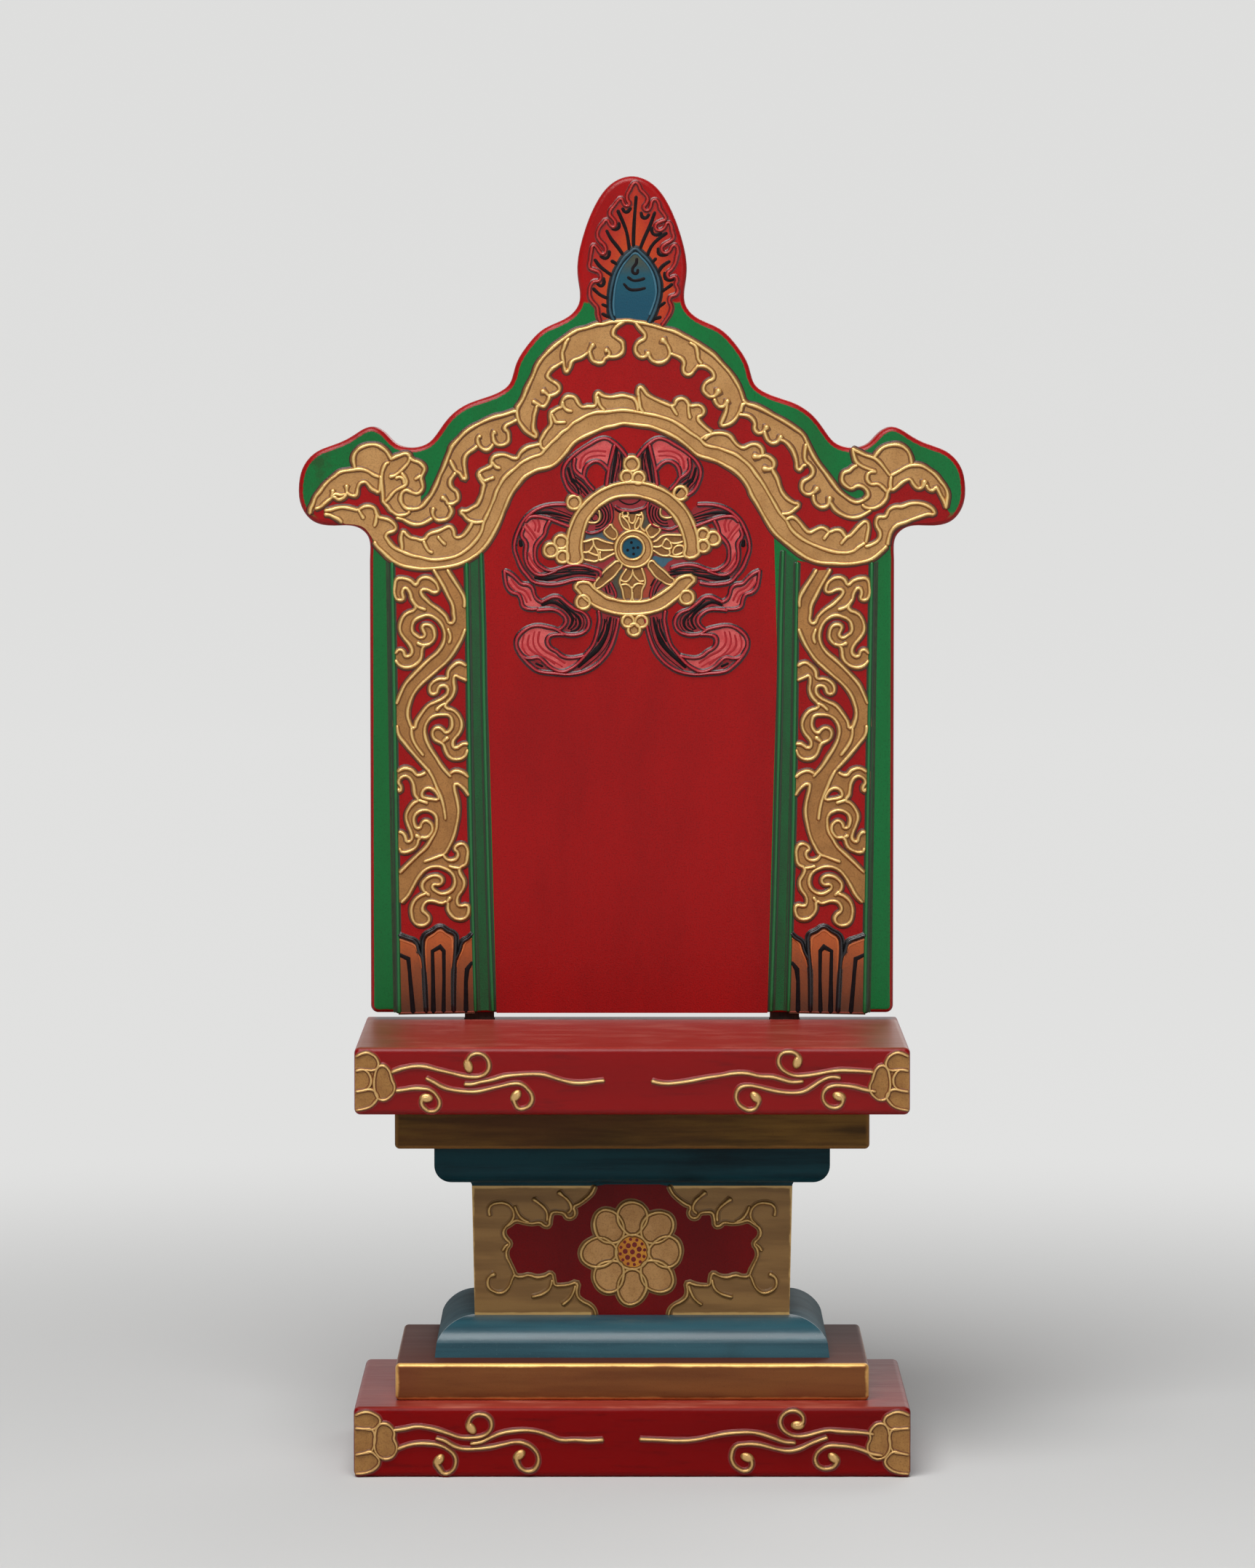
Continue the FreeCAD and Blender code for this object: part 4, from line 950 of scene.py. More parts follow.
scrollUpper = [
    (607, 776), (619, 797), (626, 812), (632, 825), (633, 836), (633, 847), (628, 850), (622, 840),
    (613, 831), (602, 823), (596, 817), (590, 810), (589, 804), (598, 803), (607, 807), (612, 805),
    (612, 799), (607, 791), (596, 786), (587, 789), (582, 796), (576, 791), (565, 787), (556, 788),
    (553, 797), (553, 810), (557, 816), (564, 815), (563, 806), (567, 800), (573, 805), (576, 816),
    (581, 828), (567, 836), (560, 847), (559, 858), (564, 868), (572, 878), (575, 888), (570, 894),
    (565, 893), (563, 887), (557, 885), (547, 889), (547, 900), (559, 907), (570, 909), (581, 904),
    (587, 896), (589, 884), (592, 880), (598, 878), (605, 871), (606, 862), (603, 854), (597, 851),
    (590, 853), (591, 859), (593, 865), (588, 869), (582, 866), (576, 860), (576, 851), (579, 845),
    (588, 840), (598, 838), (608, 842), (615, 849), (619, 858), (620, 868), (617, 879), (609, 890),
    (598, 899), (587, 909), (575, 921), (565, 932), (558, 945), (547, 958), (546, 990), (554, 1001),
    (563, 1014), (574, 1028), (585, 1041), (594, 1051), (600, 1062), (624, 1060), (613, 1047),
    (605, 1034), (596, 1019), (591, 1006), (590, 994), (594, 984), (602, 977), (615, 975), (625, 977),
    (628, 986), (626, 995), (619, 1000), (615, 996), (609, 993), (602, 996), (601, 1004), (605, 1010),
    (611, 1013), (615, 1016), (618, 1024), (623, 1033), (633, 1037), (644, 1033), (652, 1025),
    (652, 1016), (642, 1016), (631, 1021), (628, 1014), (631, 1008), (637, 1001), (641, 990),
    (639, 980), (631, 970), (619, 964), (620, 960), (628, 951), (632, 940), (631, 929), (633, 922),
    (639, 924), (652, 928), (652, 908), (639, 904), (631, 908), (624, 916), (622, 925), (611, 926),
    (601, 932), (598, 939), (601, 946), (607, 945), (610, 938), (615, 935), (622, 937), (623, 944),
    (618, 951), (607, 957), (596, 962), (587, 972), (579, 984), (575, 993), (569, 984), (567, 971),
    (570, 958), (576, 945), (587, 932), (600, 921), (613, 910), (624, 900), (633, 888), (642, 873),
    (651, 859), (651, 827), (648, 816), (643, 805), (635, 792), (626, 777)]
scrollLower = [
    (594, 1051), (600, 1062), (624, 1056), (631, 1053), (642, 1056), (652, 1061), (652, 1086),
    (641, 1076), (630, 1071), (629, 1074), (633, 1095), (634, 1110), (631, 1127), (627, 1142),
    (621, 1155), (612, 1168), (618, 1175), (628, 1175), (632, 1170), (632, 1165), (628, 1160),
    (632, 1155), (640, 1154), (645, 1160), (645, 1172), (642, 1182), (634, 1187), (635, 1195),
    (640, 1205), (638, 1216), (631, 1226), (630, 1235), (633, 1239), (644, 1239), (645, 1248),
    (640, 1256), (629, 1257), (622, 1252), (617, 1243), (616, 1233), (609, 1235), (599, 1232),
    (589, 1232), (584, 1236), (582, 1244), (588, 1250), (591, 1256), (587, 1263), (578, 1265),
    (571, 1261), (567, 1250), (568, 1237), (575, 1227), (587, 1221), (582, 1210), (588, 1201),
    (597, 1197), (606, 1198), (610, 1203), (606, 1209), (598, 1209), (596, 1212), (602, 1219),
    (610, 1222), (620, 1219), (626, 1212), (627, 1201), (623, 1193), (614, 1187), (602, 1184),
    (589, 1187), (578, 1197), (570, 1210), (561, 1225), (554, 1232), (546, 1234), (546, 1191),
    (566, 1178), (578, 1167), (589, 1157), (596, 1146), (602, 1136), (604, 1125), (603, 1114),
    (596, 1108), (587, 1106), (578, 1109), (573, 1115), (573, 1124), (576, 1130), (581, 1130),
    (583, 1125), (588, 1121), (594, 1123), (598, 1130), (595, 1139), (589, 1144), (581, 1144),
    (575, 1156), (566, 1162), (555, 1163), (546, 1159), (546, 1136), (555, 1136), (560, 1141),
    (563, 1149), (569, 1146), (569, 1138), (565, 1127), (562, 1114), (566, 1104), (573, 1096),
    (579, 1092), (575, 1085), (574, 1078), (572, 1067), (565, 1059), (557, 1060), (551, 1067),
    (556, 1074), (554, 1079), (546, 1077), (546, 1052), (561, 1048), (572, 1051), (579, 1058),
    (589, 1055)]
scrollHole = [
    (588, 1089), (585, 1087), (585, 1081), (591, 1076), (599, 1077), (606, 1085), (607, 1091),
    (597, 1091)]


scrollField = {"left": 552.5, "right": 648.0, "leftEdge": 549, "rightEdge": 650}


def offBorder(points):  # the parts of a line that don't run along the pillar's edges
    runs = [[]]
    for index, point in enumerate(points):
        across = min(max(point[0], scrollField["left"]), scrollField["right"])
        runs[-1].append((across,) + tuple(point[1:]))
        pair = (point[0], points[min(index + 1, len(points) - 1)][0])
        if max(pair) <= scrollField["leftEdge"] or min(pair) >= scrollField["rightEdge"]:
            runs.append([])
    return [run for run in runs if len(run) > 1]


scrollLines = [
    scrollUpper[:84], scrollUpper[85:], [(594, 830, 1.1), (584, 826), (576, 816)],
    [(583, 876, 1.2), (590, 879), (598, 878)], [(607, 968, 1.1), (614, 962), (620, 960)],
    [(621, 1007, 1.3), (615, 1012)], [(572, 993), (572, 1001), (576, 1014), (587, 1030)],
    [(625, 858), (628, 868), (626, 876)], scrollLower[2:16] + [(606, 1170), (595, 1174), (586, 1177)],
    scrollLower[15:54], scrollLower[53:75], scrollLower[76:],
    [(594, 1051), (600, 1062), (605, 1075), (610, 1087), (614, 1102), (616, 1119)],
    [(579, 1092), (591, 1096, 1.1)], [(576, 1141, 1.3), (581, 1144)], [(591, 1223, 1.1), (586, 1219)],
    [(620, 1184), (627, 1186), (634, 1187)], [(620, 1228, 1.2), (616, 1233)]]
scrollRuns = [run for line in scrollLines for run in offBorder(line)]
goldPipe("pillarScrollPiping", bothSides(board, scrollRuns), bothSides(board, [scrollHole]),
         lineHalf["scroll"], "left_pillar_scroll", "right_pillar_scroll")
plate("pillarScrollGilding", board, bothSides(board, [scrollUpper]), 0.00012, deepGoldFlat,
      "gilt_paste", True)
plate("pillarScrollGildingBelow", board, bothSides(board, [scrollLower, scrollHole]), 0.00013,
      deepGoldFlat, "gilt_paste", True)
print("pillar scrolls are on")


# lotus petals at the pillars' feet

def petalFinish():
    paint = Paint("petalPaint")
    z = paint.axes()[2]
    foot = onBoard(590, 1388)[1]
    top = onBoard(590, 1275)[1]
    streak = paint.grain(2.2, 4, (1, 1, 0.15))
    height = (z - foot) * (1 / (top - foot)) + (streak - 0.5) * 0.35
    colour = paint.blend(paint.ramp(height, 0.0, 0.5), srgb(80, 38, 10), srgb(122, 56, 14))
    colour = paint.blend(paint.ramp(height, 0.45, 1.0), colour, srgb(174, 80, 22))
    fine = paint.dust(0.5)
    colour = paint.over(colour, srgb(70, 34, 16), fine, 0.5, 0.75, 0.4)
    return paint.finish(colour, 0.42 + fine * 0.1, 0.0, fine, 0.07, 0.1)


petalMiddle = [
    (584, 1384), (583, 1350), (582, 1324), (581, 1292), (584, 1280), (595, 1273), (606, 1267),
    (616, 1273), (626, 1279), (627, 1288), (625, 1311), (623, 1335), (622, 1384)]
petalLeft = [(549, 1278), (559, 1282), (572, 1288), (576, 1301), (580, 1309), (582, 1324)]
petalRight = [(650, 1278), (644, 1284), (636, 1289), (632, 1301), (626, 1312)]
petals = {
    "fill": [
        (546, 1388), (546, 1277), (559, 1282), (572, 1288), (576, 1301), (581, 1309), (581, 1292),
        (584, 1280), (595, 1273), (606, 1267), (616, 1273), (626, 1279), (627, 1310), (632, 1301),
        (636, 1289), (644, 1284), (652, 1277), (651, 1388)],
    "ink": [petalMiddle, petalLeft, petalRight],
    "rim": [
        [(586, 1330, 0.5), (585.5, 1305, 0.8), (586, 1290), (588, 1284), (596, 1279), (605, 1273),
         (615, 1279), (621, 1283), (622, 1292), (621.5, 1310, 0.8), (620, 1326, 0.5)],
        [(549, 1284), (562, 1289), (570, 1293), (574, 1300), (578, 1315, 0.8), (580, 1330, 0.5)],
        [(649, 1284), (640, 1290), (636, 1300), (630, 1314, 0.8), (627, 1325, 0.5)]],
    "strokes": [
        [(594, 1384, 1.3), (594.4, 1340), (594.4, 1301), (605, 1295, 1.2), (610, 1301), (609.5, 1340),
         (608, 1384, 1.3)],
        [(549, 1305), (561, 1311, 1.2), (562.5, 1330), (563, 1340), (566, 1384, 1.3)],
        [(648, 1318), (641.6, 1327, 1.2), (639.6, 1344), (639, 1384, 1.3)]],
    "foot": [(549, 1385.5), (650, 1385.5)]}
orangeLine = {"washAndShade": srgb(70, 30, 14), "foot": srgb(96, 42, 16), "flank": srgb(168, 80, 34),
              "crestHighlight": srgb(204, 116, 62)}
petalRim = beadFinish("petalRimPaint", board, 0.0003, orangeLine, 0.0)
petalPiping = pipe("petalPiping", board, bothSides(board, petals["ink"]), [], 0.0006, boardRise,
                   inkBead)
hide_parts("left_pillar_petals", "right_pillar_petals")
pipe("petalRims", board, bothSides(board, petals["rim"]), [], 0.00045, 0.0003, petalRim)
pipe("petalFootLines", board, bothSides(board, [petals["foot"]]), [], 0.0002, 0.00025,
     flatPaint("petalFootRed", {"base": srgb(150, 56, 32), "worn": srgb(128, 44, 28),
                                "dark": srgb(90, 32, 20)}, 4.0))
pipe("petalStrokes", board, bothSides(board, petals["strokes"]), [], 0.0007, 0.0003, inkFlat,
     True)
plate("petalGround", board, bothSides(board, [petals["fill"]]), 0.00012, petalFinish(),
      "orange_paste", True)
print("petals are on")


# green lines along the pillars

greenLines = {
    "raised": [
        [(550, 766), (549.5, 900), (548.5, 1100), (547.5, 1300), (547, 1384)],
        [(652, 768), (652, 850), (651.5, 950), (650.5, 1100), (651, 1250), (652, 1384)],
        [(672, 752), (673, 850), (672.5, 950), (673, 1100), (674, 1250), (676, 1384)]],
    # Dark lines beside the raised green lines: painted shade.
    "grooveShades": [
        [(543, 764), (542.5, 900), (541.5, 1050), (541, 1200), (541, 1384)],
        [(657, 766), (657, 900), (656.5, 1050), (657, 1200), (658, 1384)],
        [(668, 756), (668.5, 900), (668, 1050), (669, 1200), (671, 1384)]],
    "strip": [(653, 764), (670, 752), (671, 1000), (673, 1384), (654, 1384), (652, 1100)]}
pipe("greenLinePiping", board, bothSides(board, greenLines["raised"]), [], 0.00058, 0.0006,
     greenBead)
# Paint for the dark lines beside the raised green lines: painted shade.
grooveShadePaint = flatPaint("greenGrooveShade", {"base": srgb(40, 58, 32), "worn": srgb(34, 48, 28),
                                      "dark": srgb(24, 34, 20)}, 3.0)
pipe("greenLineGrooveShade", board, bothSides(board, greenLines["grooveShades"]), [], 0.00022, 0.00008,
     grooveShadePaint)
plate("greenStrips", board, bothSides(board, [greenLines["strip"]]), 0.00003,
      flatPaint("greenStripPaint", {"base": srgb(14, 82, 38), "worn": srgb(22, 70, 34),
                                    "dark": srgb(18, 44, 24)}, 5.0, 0.0, 0.42, (1, 1, 0.3)),
      "blue_paste", True)
print("green lines are on")


# finial: flame and jewel

flameLeft = [
    (893, 249), (889, 252), (885, 259), (881, 266), (881, 273), (884, 279), (879, 281), (875, 277),
    (872, 271), (868, 273), (862, 280), (856, 287), (855, 293), (860, 299), (863, 305), (860, 310),
    (855, 307), (850, 300), (845, 304), (839, 311), (836, 320), (839, 328), (846, 335), (848, 342),
    (844, 347), (839, 344), (834, 337), (830, 335), (827, 343), (825, 354), (824, 366), (830, 369),
    (837, 372), (840, 379), (837, 384), (830, 385), (825, 390), (823, 399), (824, 408), (829, 415),
    (834, 421), (835, 431), (838, 441)]
flameRight = [
    (893, 249), (898, 252), (901, 259), (906, 264), (911, 271), (909, 278), (905, 284), (910, 288),
    (915, 283), (917, 276), (922, 273), (927, 278), (929, 286), (934, 293), (937, 300), (931, 303),
    (923, 307), (922, 313), (928, 316), (935, 312), (940, 305), (944, 308), (946, 317), (948, 326),
    (943, 331), (935, 335), (930, 341), (934, 347), (941, 345), (947, 337), (951, 337), (954, 345),
    (952, 353), (950, 361), (944, 370), (938, 376), (941, 382), (949, 380), (952, 385), (950, 391),
    (953, 398), (950, 405), (942, 408), (940, 414), (943, 421), (941, 430), (935, 439), (929, 447)]
flameHooks = [
    [(874, 285), (877, 289), (881, 289), (885, 285)], [(858, 312), (863, 313), (868, 310), (868, 305)],
    [(841, 350), (847, 353), (852, 350), (853, 344)], [(835, 388), (840, 391), (844, 388), (844, 381)],
    [(901, 291), (903, 297), (908, 298), (912, 294)], [(916, 312), (917, 319), (923, 322), (929, 320)],
    [(925, 341), (926, 348), (932, 350), (938, 349)], [(934, 375), (935, 382), (940, 385), (946, 384)]]
flameStrokes = [
    [(832, 355), (838, 363), (848, 371), (858, 378)], [(857, 357), (863, 361), (868, 366)],
    [(850, 315), (856, 326), (865, 337), (875, 351)],
    [(867, 288), (873, 301), (879, 317), (882, 335), (883, 343)],
    [(894, 269), (892, 288), (890, 310), (889, 330), (889, 340)],
    [(921, 291), (914, 308), (905, 326), (898, 342)], [(937, 320), (925, 328), (915, 338), (909, 350)],
    [(921, 355), (915, 361)], [(941, 359), (930, 366), (924, 375)],
    [(829, 395), (838, 403), (846, 407), (854, 409)], [(842, 417), (850, 420), (855, 421)],
    [(842, 430), (848, 433), (855, 434)], [(944, 391), (935, 397), (925, 402)],
    [(933, 416), (925, 421), (919, 425)], [(926, 436), (918, 438), (912, 442)]]
jewelEdge = [
    (891, 342), (884, 347), (876, 354), (869, 364), (863, 375), (859, 388), (856, 402), (855, 416),
    (856, 430), (861, 441), (885, 440), (908, 443), (915, 430), (920, 416), (923, 403), (923, 391),
    (920, 378), (914, 366), (907, 356), (899, 348)]
jewelInner = [
    (861, 432), (860, 420), (861, 406), (863, 392), (867, 378), (873, 366), (882, 355), (891, 348),
    (900, 355), (909, 366), (915, 379), (918, 393), (918, 406), (914, 420), (909, 432)]
jewelMarks = [
    [(893, 356), (892, 362), (887, 369), (888, 375), (893, 375), (894, 371)],
    [(881, 381), (887, 385), (894, 385), (902, 383)], [(875, 390), (882, 397), (892, 398), (903, 396)]]


def flameFinish():
    paint = Paint("flamePaint")
    x, _, z = paint.axes()
    middleX, middleZ = onBoard(890, 400)
    dx = (x - middleX) * perMetre
    dz = (z - middleZ) * perMetre
    spread = paint.grain(5, 3) * 4 - 2
    reach = abs(dx) * 0.9 + abs(dz) * 0.42 + spread
    fine = paint.dust(0.55)
    colour = paint.blend(paint.ramp(reach, 6, 19), srgb(176, 62, 18), srgb(156, 26, 20))
    colour = paint.over(colour, srgb(118, 30, 26), fine, 0.5, 0.75, 0.4)
    return paint.finish(colour, 0.4 + fine * 0.1, 0.0, fine, 0.08, 0.05, 0.25)


def jewelFinish():
    paint = Paint("jewelPaint")
    z = paint.axes()[2]
    top = onBoard(890, 348)[1]
    fine = paint.dust()
    down = (top - z) * perMetre + (paint.grain(3, 3) - 0.5) * 4
    colour = paint.blend(paint.ramp(down, 1, 9), srgb(62, 66, 52), srgb(12, 72, 88))
    colour = paint.blend(paint.ramp(down, 8, 18), colour, srgb(4, 66, 86))
    colour = paint.over(colour, srgb(20, 46, 60), fine, 0.5, 0.78, 0.4)
    return paint.finish(colour, 0.38 + fine * 0.1, 0.0, fine, 0.07, 0.1, 0.3)


flameFit = {"middle": 888, "foot": 441, "narrow": 0.93, "lower": 0.015}


def squeezed(line):  # the flame as it fits on the upright finial
    return [(flameFit["middle"] + (across - flameFit["middle"]) * flameFit["narrow"],
             down + (flameFit["foot"] - down) * flameFit["lower"]) for across, down in line]


flameEdge = placed(board, backwards(squeezed(flameLeft)) + squeezed(flameRight)[1:])
flameFoot = placed(board, [(925, 451), (900, 447), (880, 444), (845, 446)])
flamePiping = pipe("flamePiping", board, [flameEdge], [], 0.00052, boardRise, flameBead)
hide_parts("finial_flame")
flameMarks = onto([squeezed(line) for line in flameStrokes + flameHooks])
flameZone = backwards(flameEdge[:len(flameLeft)]) + backwards(flameFoot) \
    + backwards(flameEdge[len(flameLeft):])
plate("flameGround", board, [flameZone], 0.00007, flameFinish(), "orange_paste")
pipe("flameStrokes", board, flameMarks, [], 0.00066, 0.0002, inkFlat)
blueLine = {"washAndShade": srgb(14, 12, 16), "foot": srgb(10, 12, 16), "flank": srgb(16, 36, 46),
            "crestHighlight": srgb(44, 78, 92)}
jewelPiping = pipe("jewelPiping", board, [placed(board, jewelEdge[11:] + jewelEdge[:10])], [],
                   0.0007, boardRise,
                   beadFinish("jewelEdgePaint", board, boardRise, blueLine, 0.0))
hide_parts("finial_jewel")
pipe("jewelInnerPiping", board, [placed(board, jewelInner)], [], 0.00045, 0.0004,
     beadFinish("jewelInnerPaint", board, 0.0004, {"washAndShade": srgb(22, 32, 40),
                                                   "foot": srgb(24, 38, 46),
                                                   "flank": srgb(32, 74, 92),
                                                   "crestHighlight": srgb(60, 110, 128)}, 0.0))
plate("jewelGround", board, [placed(board, jewelEdge)], 0.00012, jewelFinish(), "blue_paste")
pipe("jewelMarks", board, onto(jewelMarks), [], 0.0006, 0.00026, inkFlat)
print("finial is on")


# ribbons tied through the wheel

ribbon = {
    "half": 0.00052,
    "lines": [
        [(806, 678), (797, 672), (790, 660), (787, 645), (791, 634), (799, 625), (812, 615), (824, 608),
         (835, 602), (846, 600), (857, 606), (867, 616), (875, 627)],
        [(803, 627), (802, 641), (808, 649), (815, 654), (820, 661), (828, 670)],
        [(815, 653), (817, 642), (822, 635), (832, 631), (840, 634), (848, 643)],
        [(858, 610), (854, 625), (850, 640), (848, 652), (846, 665)],
        [(790, 690), (768, 690), (749, 696), (739, 703), (731, 711), (725, 722), (720, 735), (718, 748),
         (722, 763), (728, 777), (735, 786), (742, 794), (755, 798), (772, 799), (785, 797), (800, 793),
         (815, 793), (828, 795)],
        [(734, 712), (740, 706), (749, 705), (760, 707), (772, 711), (784, 716), (796, 721)],
        [(767, 712), (762, 722), (760, 730), (753, 738), (748, 745), (746, 757), (748, 768), (756, 776),
         (766, 780), (778, 778), (790, 774), (806, 773), (825, 778), (836, 784), (835, 789)],
        [(731, 722), (728, 731), (734, 742), (733, 755), (734, 767), (740, 778), (749, 785), (762, 785),
         (775, 780)],
        [(704, 779), (712, 783), (720, 790), (727, 797), (737, 799), (742, 804), (744, 812), (748, 819),
         (755, 823)],
        [(704, 779), (705, 793), (708, 803), (714, 809), (722, 812), (726, 820), (728, 828), (736, 832),
         (748, 832)],
        [(753, 823), (760, 820), (770, 816), (779, 817), (786, 823), (793, 829), (800, 834), (810, 838),
         (817, 846), (818, 856), (813, 864), (804, 868), (794, 869), (783, 867), (774, 861), (760, 857),
         (748, 855), (737, 857), (727, 863), (720, 871), (718, 880), (721, 890), (728, 898), (738, 900),
         (748, 899), (755, 904), (762, 911), (770, 916), (781, 919), (792, 915), (801, 909), (808, 902),
         (816, 893), (823, 884), (828, 872), (831, 860), (833, 848), (832, 837)],
        [(748, 834), (760, 833), (772, 834), (782, 840), (787, 848), (784, 856), (776, 862)],
        [(783, 868), (772, 868), (763, 871), (761, 879), (765, 886), (773, 891), (780, 897), (788, 900),
         (798, 900), (810, 898)],
        [(722, 893), (730, 903), (738, 911), (746, 917), (758, 920), (770, 921), (785, 923), (800, 922),
         (812, 919), (824, 913), (836, 903), (845, 891), (851, 878), (856, 862), (859, 848)]],
    "pink": [
        [(803, 627), (814, 616), (826, 610), (838, 604), (850, 604), (858, 610), (854, 625), (848, 643),
         (840, 634), (832, 631), (822, 635), (817, 642), (815, 653), (808, 649), (802, 641)],
        [(734, 712), (740, 706), (749, 705), (758, 707), (767, 712), (762, 722), (760, 730), (753, 738),
         (748, 745), (746, 757), (748, 768), (756, 776), (766, 780), (774, 780), (762, 785), (749, 785),
         (740, 778), (734, 767), (733, 755), (734, 742), (728, 731), (731, 722)],
        [(704, 779), (712, 783), (720, 790), (727, 797), (737, 799), (742, 804), (744, 812), (748, 819),
         (753, 823), (748, 832), (736, 832), (728, 828), (726, 820), (722, 812), (714, 809), (708, 803),
         (705, 793)],
        [(774, 861), (760, 857), (748, 855), (737, 857), (727, 863), (720, 871), (718, 880), (721, 890),
         (728, 898), (738, 900), (748, 899), (755, 904), (762, 911), (770, 916), (781, 919), (792, 915),
         (801, 909), (808, 902), (812, 897), (798, 900), (788, 900), (780, 897), (773, 891), (765, 886),
         (761, 879), (763, 871), (772, 868), (783, 867)]],
    "dark": [
        [(799, 625), (803, 630), (802, 641), (808, 649), (815, 654), (820, 661), (828, 670), (806, 678),
         (797, 672), (790, 660), (787, 645), (791, 634)],
        [(858, 610), (867, 616), (875, 627), (868, 640), (864, 664), (846, 665), (850, 640)],
        [(740, 704), (749, 696), (768, 690), (790, 690), (800, 702), (796, 721), (784, 716), (772, 711),
         (760, 707)],
        [(735, 780), (749, 785), (775, 780), (806, 773), (825, 778), (836, 784), (828, 795), (815, 793),
         (800, 793), (785, 797), (755, 798), (742, 794)],
        [(753, 823), (770, 816), (779, 817), (786, 823), (800, 834), (810, 838), (817, 846), (818, 856),
         (813, 864), (804, 868), (794, 869), (776, 862), (784, 856), (787, 848), (782, 840), (772, 834),
         (760, 833), (748, 834)],
        [(832, 837), (831, 860), (823, 884), (812, 897), (801, 909), (781, 919), (746, 904), (738, 900),
         (728, 898), (738, 911), (758, 920), (785, 923), (812, 919), (836, 903), (851, 878), (859, 848),
         (858, 838)]],
    "ink": [
        [(794, 640, 1.6), (798, 655, 1.7), (806, 667, 1.3), (808, 676)],
        [(800, 655, 1.3), (811, 664, 1.5), (820, 675, 1.3)],
        [(861, 612, 1.6), (859, 628, 2.0), (856, 644, 1.6), (853, 661, 1.4)],
        [(867, 622, 1.2), (868, 634, 1.3), (866, 648)],
        [(746, 702, 1.6), (762, 700, 1.9), (780, 703, 1.5), (796, 708)],
        [(764, 706), (780, 711, 1.3), (796, 716)],
        [(746, 789, 1.8), (762, 791, 2.2), (780, 788, 1.7), (806, 784, 1.6), (828, 787, 1.3)],
        [(752, 786), (790, 782), (826, 783)],
        [(755, 827, 1.5), (768, 823, 2.0), (781, 829, 2.0), (791, 838, 1.7), (796, 849, 1.6),
         (790, 860, 1.3)],
        [(778, 821), (794, 836, 1.3), (806, 849, 1.7), (803, 860, 1.4), (793, 864)],
        [(848, 846, 1.4), (844, 862, 2.0), (837, 878, 2.4), (828, 890, 2.4), (815, 902, 2.2),
         (803, 913, 1.6)],
        [(840, 848), (838, 862, 1.2), (830, 878, 1.2)], [(727, 738, 1.8), (727, 745, 1.8)],
        [(745, 907, 1.5), (753, 911, 1.5)]],
    "streak": [
        [(735, 716, 1.3), (744, 728), (748, 735)], [(750, 708, 1.4), (753, 716, 1.2), (751, 726)],
        [(737, 755, 1.2), (744, 770), (755, 780, 1.3)],
        [(810, 640, 1.3), (813, 626, 1.3), (828, 617, 1.5), (845, 618, 1.3)],
        [(713, 790, 1.4), (722, 802, 1.3), (733, 808, 1.3), (739, 820, 1.3)],
        [(736, 868, 1.5), (734, 882, 1.7), (744, 893, 1.7), (758, 899, 1.6), (770, 908, 1.4)],
        [(750, 864, 1.4), (748, 878, 1.5), (756, 889, 1.6), (770, 897, 1.6), (784, 907, 1.3)]]}
ribbonRight = list(ribbon["lines"])
ribbonRight[4] = ribbonRight[4][:-3]
ribbonRight[6] = ribbonRight[6][:-2]
ribbonLines = onto(ribbon["lines"]) + [placed(board, line, -1) for line in ribbonRight]
ribbonPiping = pipe("ribbonPiping", board, ribbonLines, [], ribbon["half"], boardRise, ribbonBead)
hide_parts("left_ribbon", "right_ribbon")
plate("ribbonPinkFaces", board, bothSides(board, ribbon["pink"]), 0.00009, pinkFlat,
      "crimson_paste")
plate("ribbonDarkFaces", board, bothSides(board, ribbon["dark"]), 0.00007, wineFlat,
      "crimson_paste")


def strand(line, spread, thick=1.0):  # a line beside a stroke, further off where that is broad
    found = []
    for index, spot in enumerate(line):
        before = line[max(index - 1, 0)]
        after = line[min(index + 1, len(line) - 1)]
        length = math.hypot(after[0] - before[0], after[1] - before[1])
        off = spread * width(spot) / length
        found.append((spot[0] - (after[1] - before[1]) * off,
                      spot[1] + (after[0] - before[0]) * off, thick))
    return found


inkStrands = []
for stroke in ribbon["ink"]:
    broad = [(spot[0], spot[1], width(spot) * 0.7) for spot in stroke]
    inkStrands = inkStrands + [strand(stroke, -3.2, 0.55), broad, strand(stroke, 3.2, 0.55)]
pipe("ribbonInkStrokes", board, bothSides(board, inkStrands), [], 0.00042, 0.00024, inkFlat)
streakRed = flatPaint("ribbonStreak", {"base": srgb(150, 16, 26), "worn": srgb(162, 26, 34),
                                       "dark": srgb(120, 16, 24)}, 4.0)
redStrands = []
for stroke in ribbon["streak"]:
    redStrands = redStrands + [strand(stroke, 0.0), strand(stroke, 4.6, 0.85)]
pipe("ribbonStreaks", board, bothSides(board, redStrands), [], 0.0005, 0.00018, streakRed)
print("ribbons are on")


# the wheel

wheel = {
    "centreX": 880.0, "centreY": 751.0, "rimOuter": 90.0, "fine": 0.00042, "fineRise": 0.0006,
    "studRadius": 9.0, "studs": [(801, 687), (811, 824), (947, 677), (953, 820)],
    "tips": [
        (881, 636, 10), (874, 653, 8), (890, 655, 8), (768, 752, 9), (782, 741, 9), (784, 761, 8),
        (991, 740, 9), (977, 734, 8), (977, 750, 8), (880, 863, 8), (872, 851, 8), (890, 852, 8)]}


def ringPoints(centreX, centreY, radius, start=0.0, end=360.0, count=24):
    found = []
    for index in range(count):
        turn = math.radians(start + (end - start) * index / count)
        found.append((centreX + radius * math.cos(turn), centreY - radius * math.sin(turn)))
    return found


def rings(places, radius, count):
    return [placed(board, ringPoints(x, y, radius, 0, 360, count)) for x, y in places]


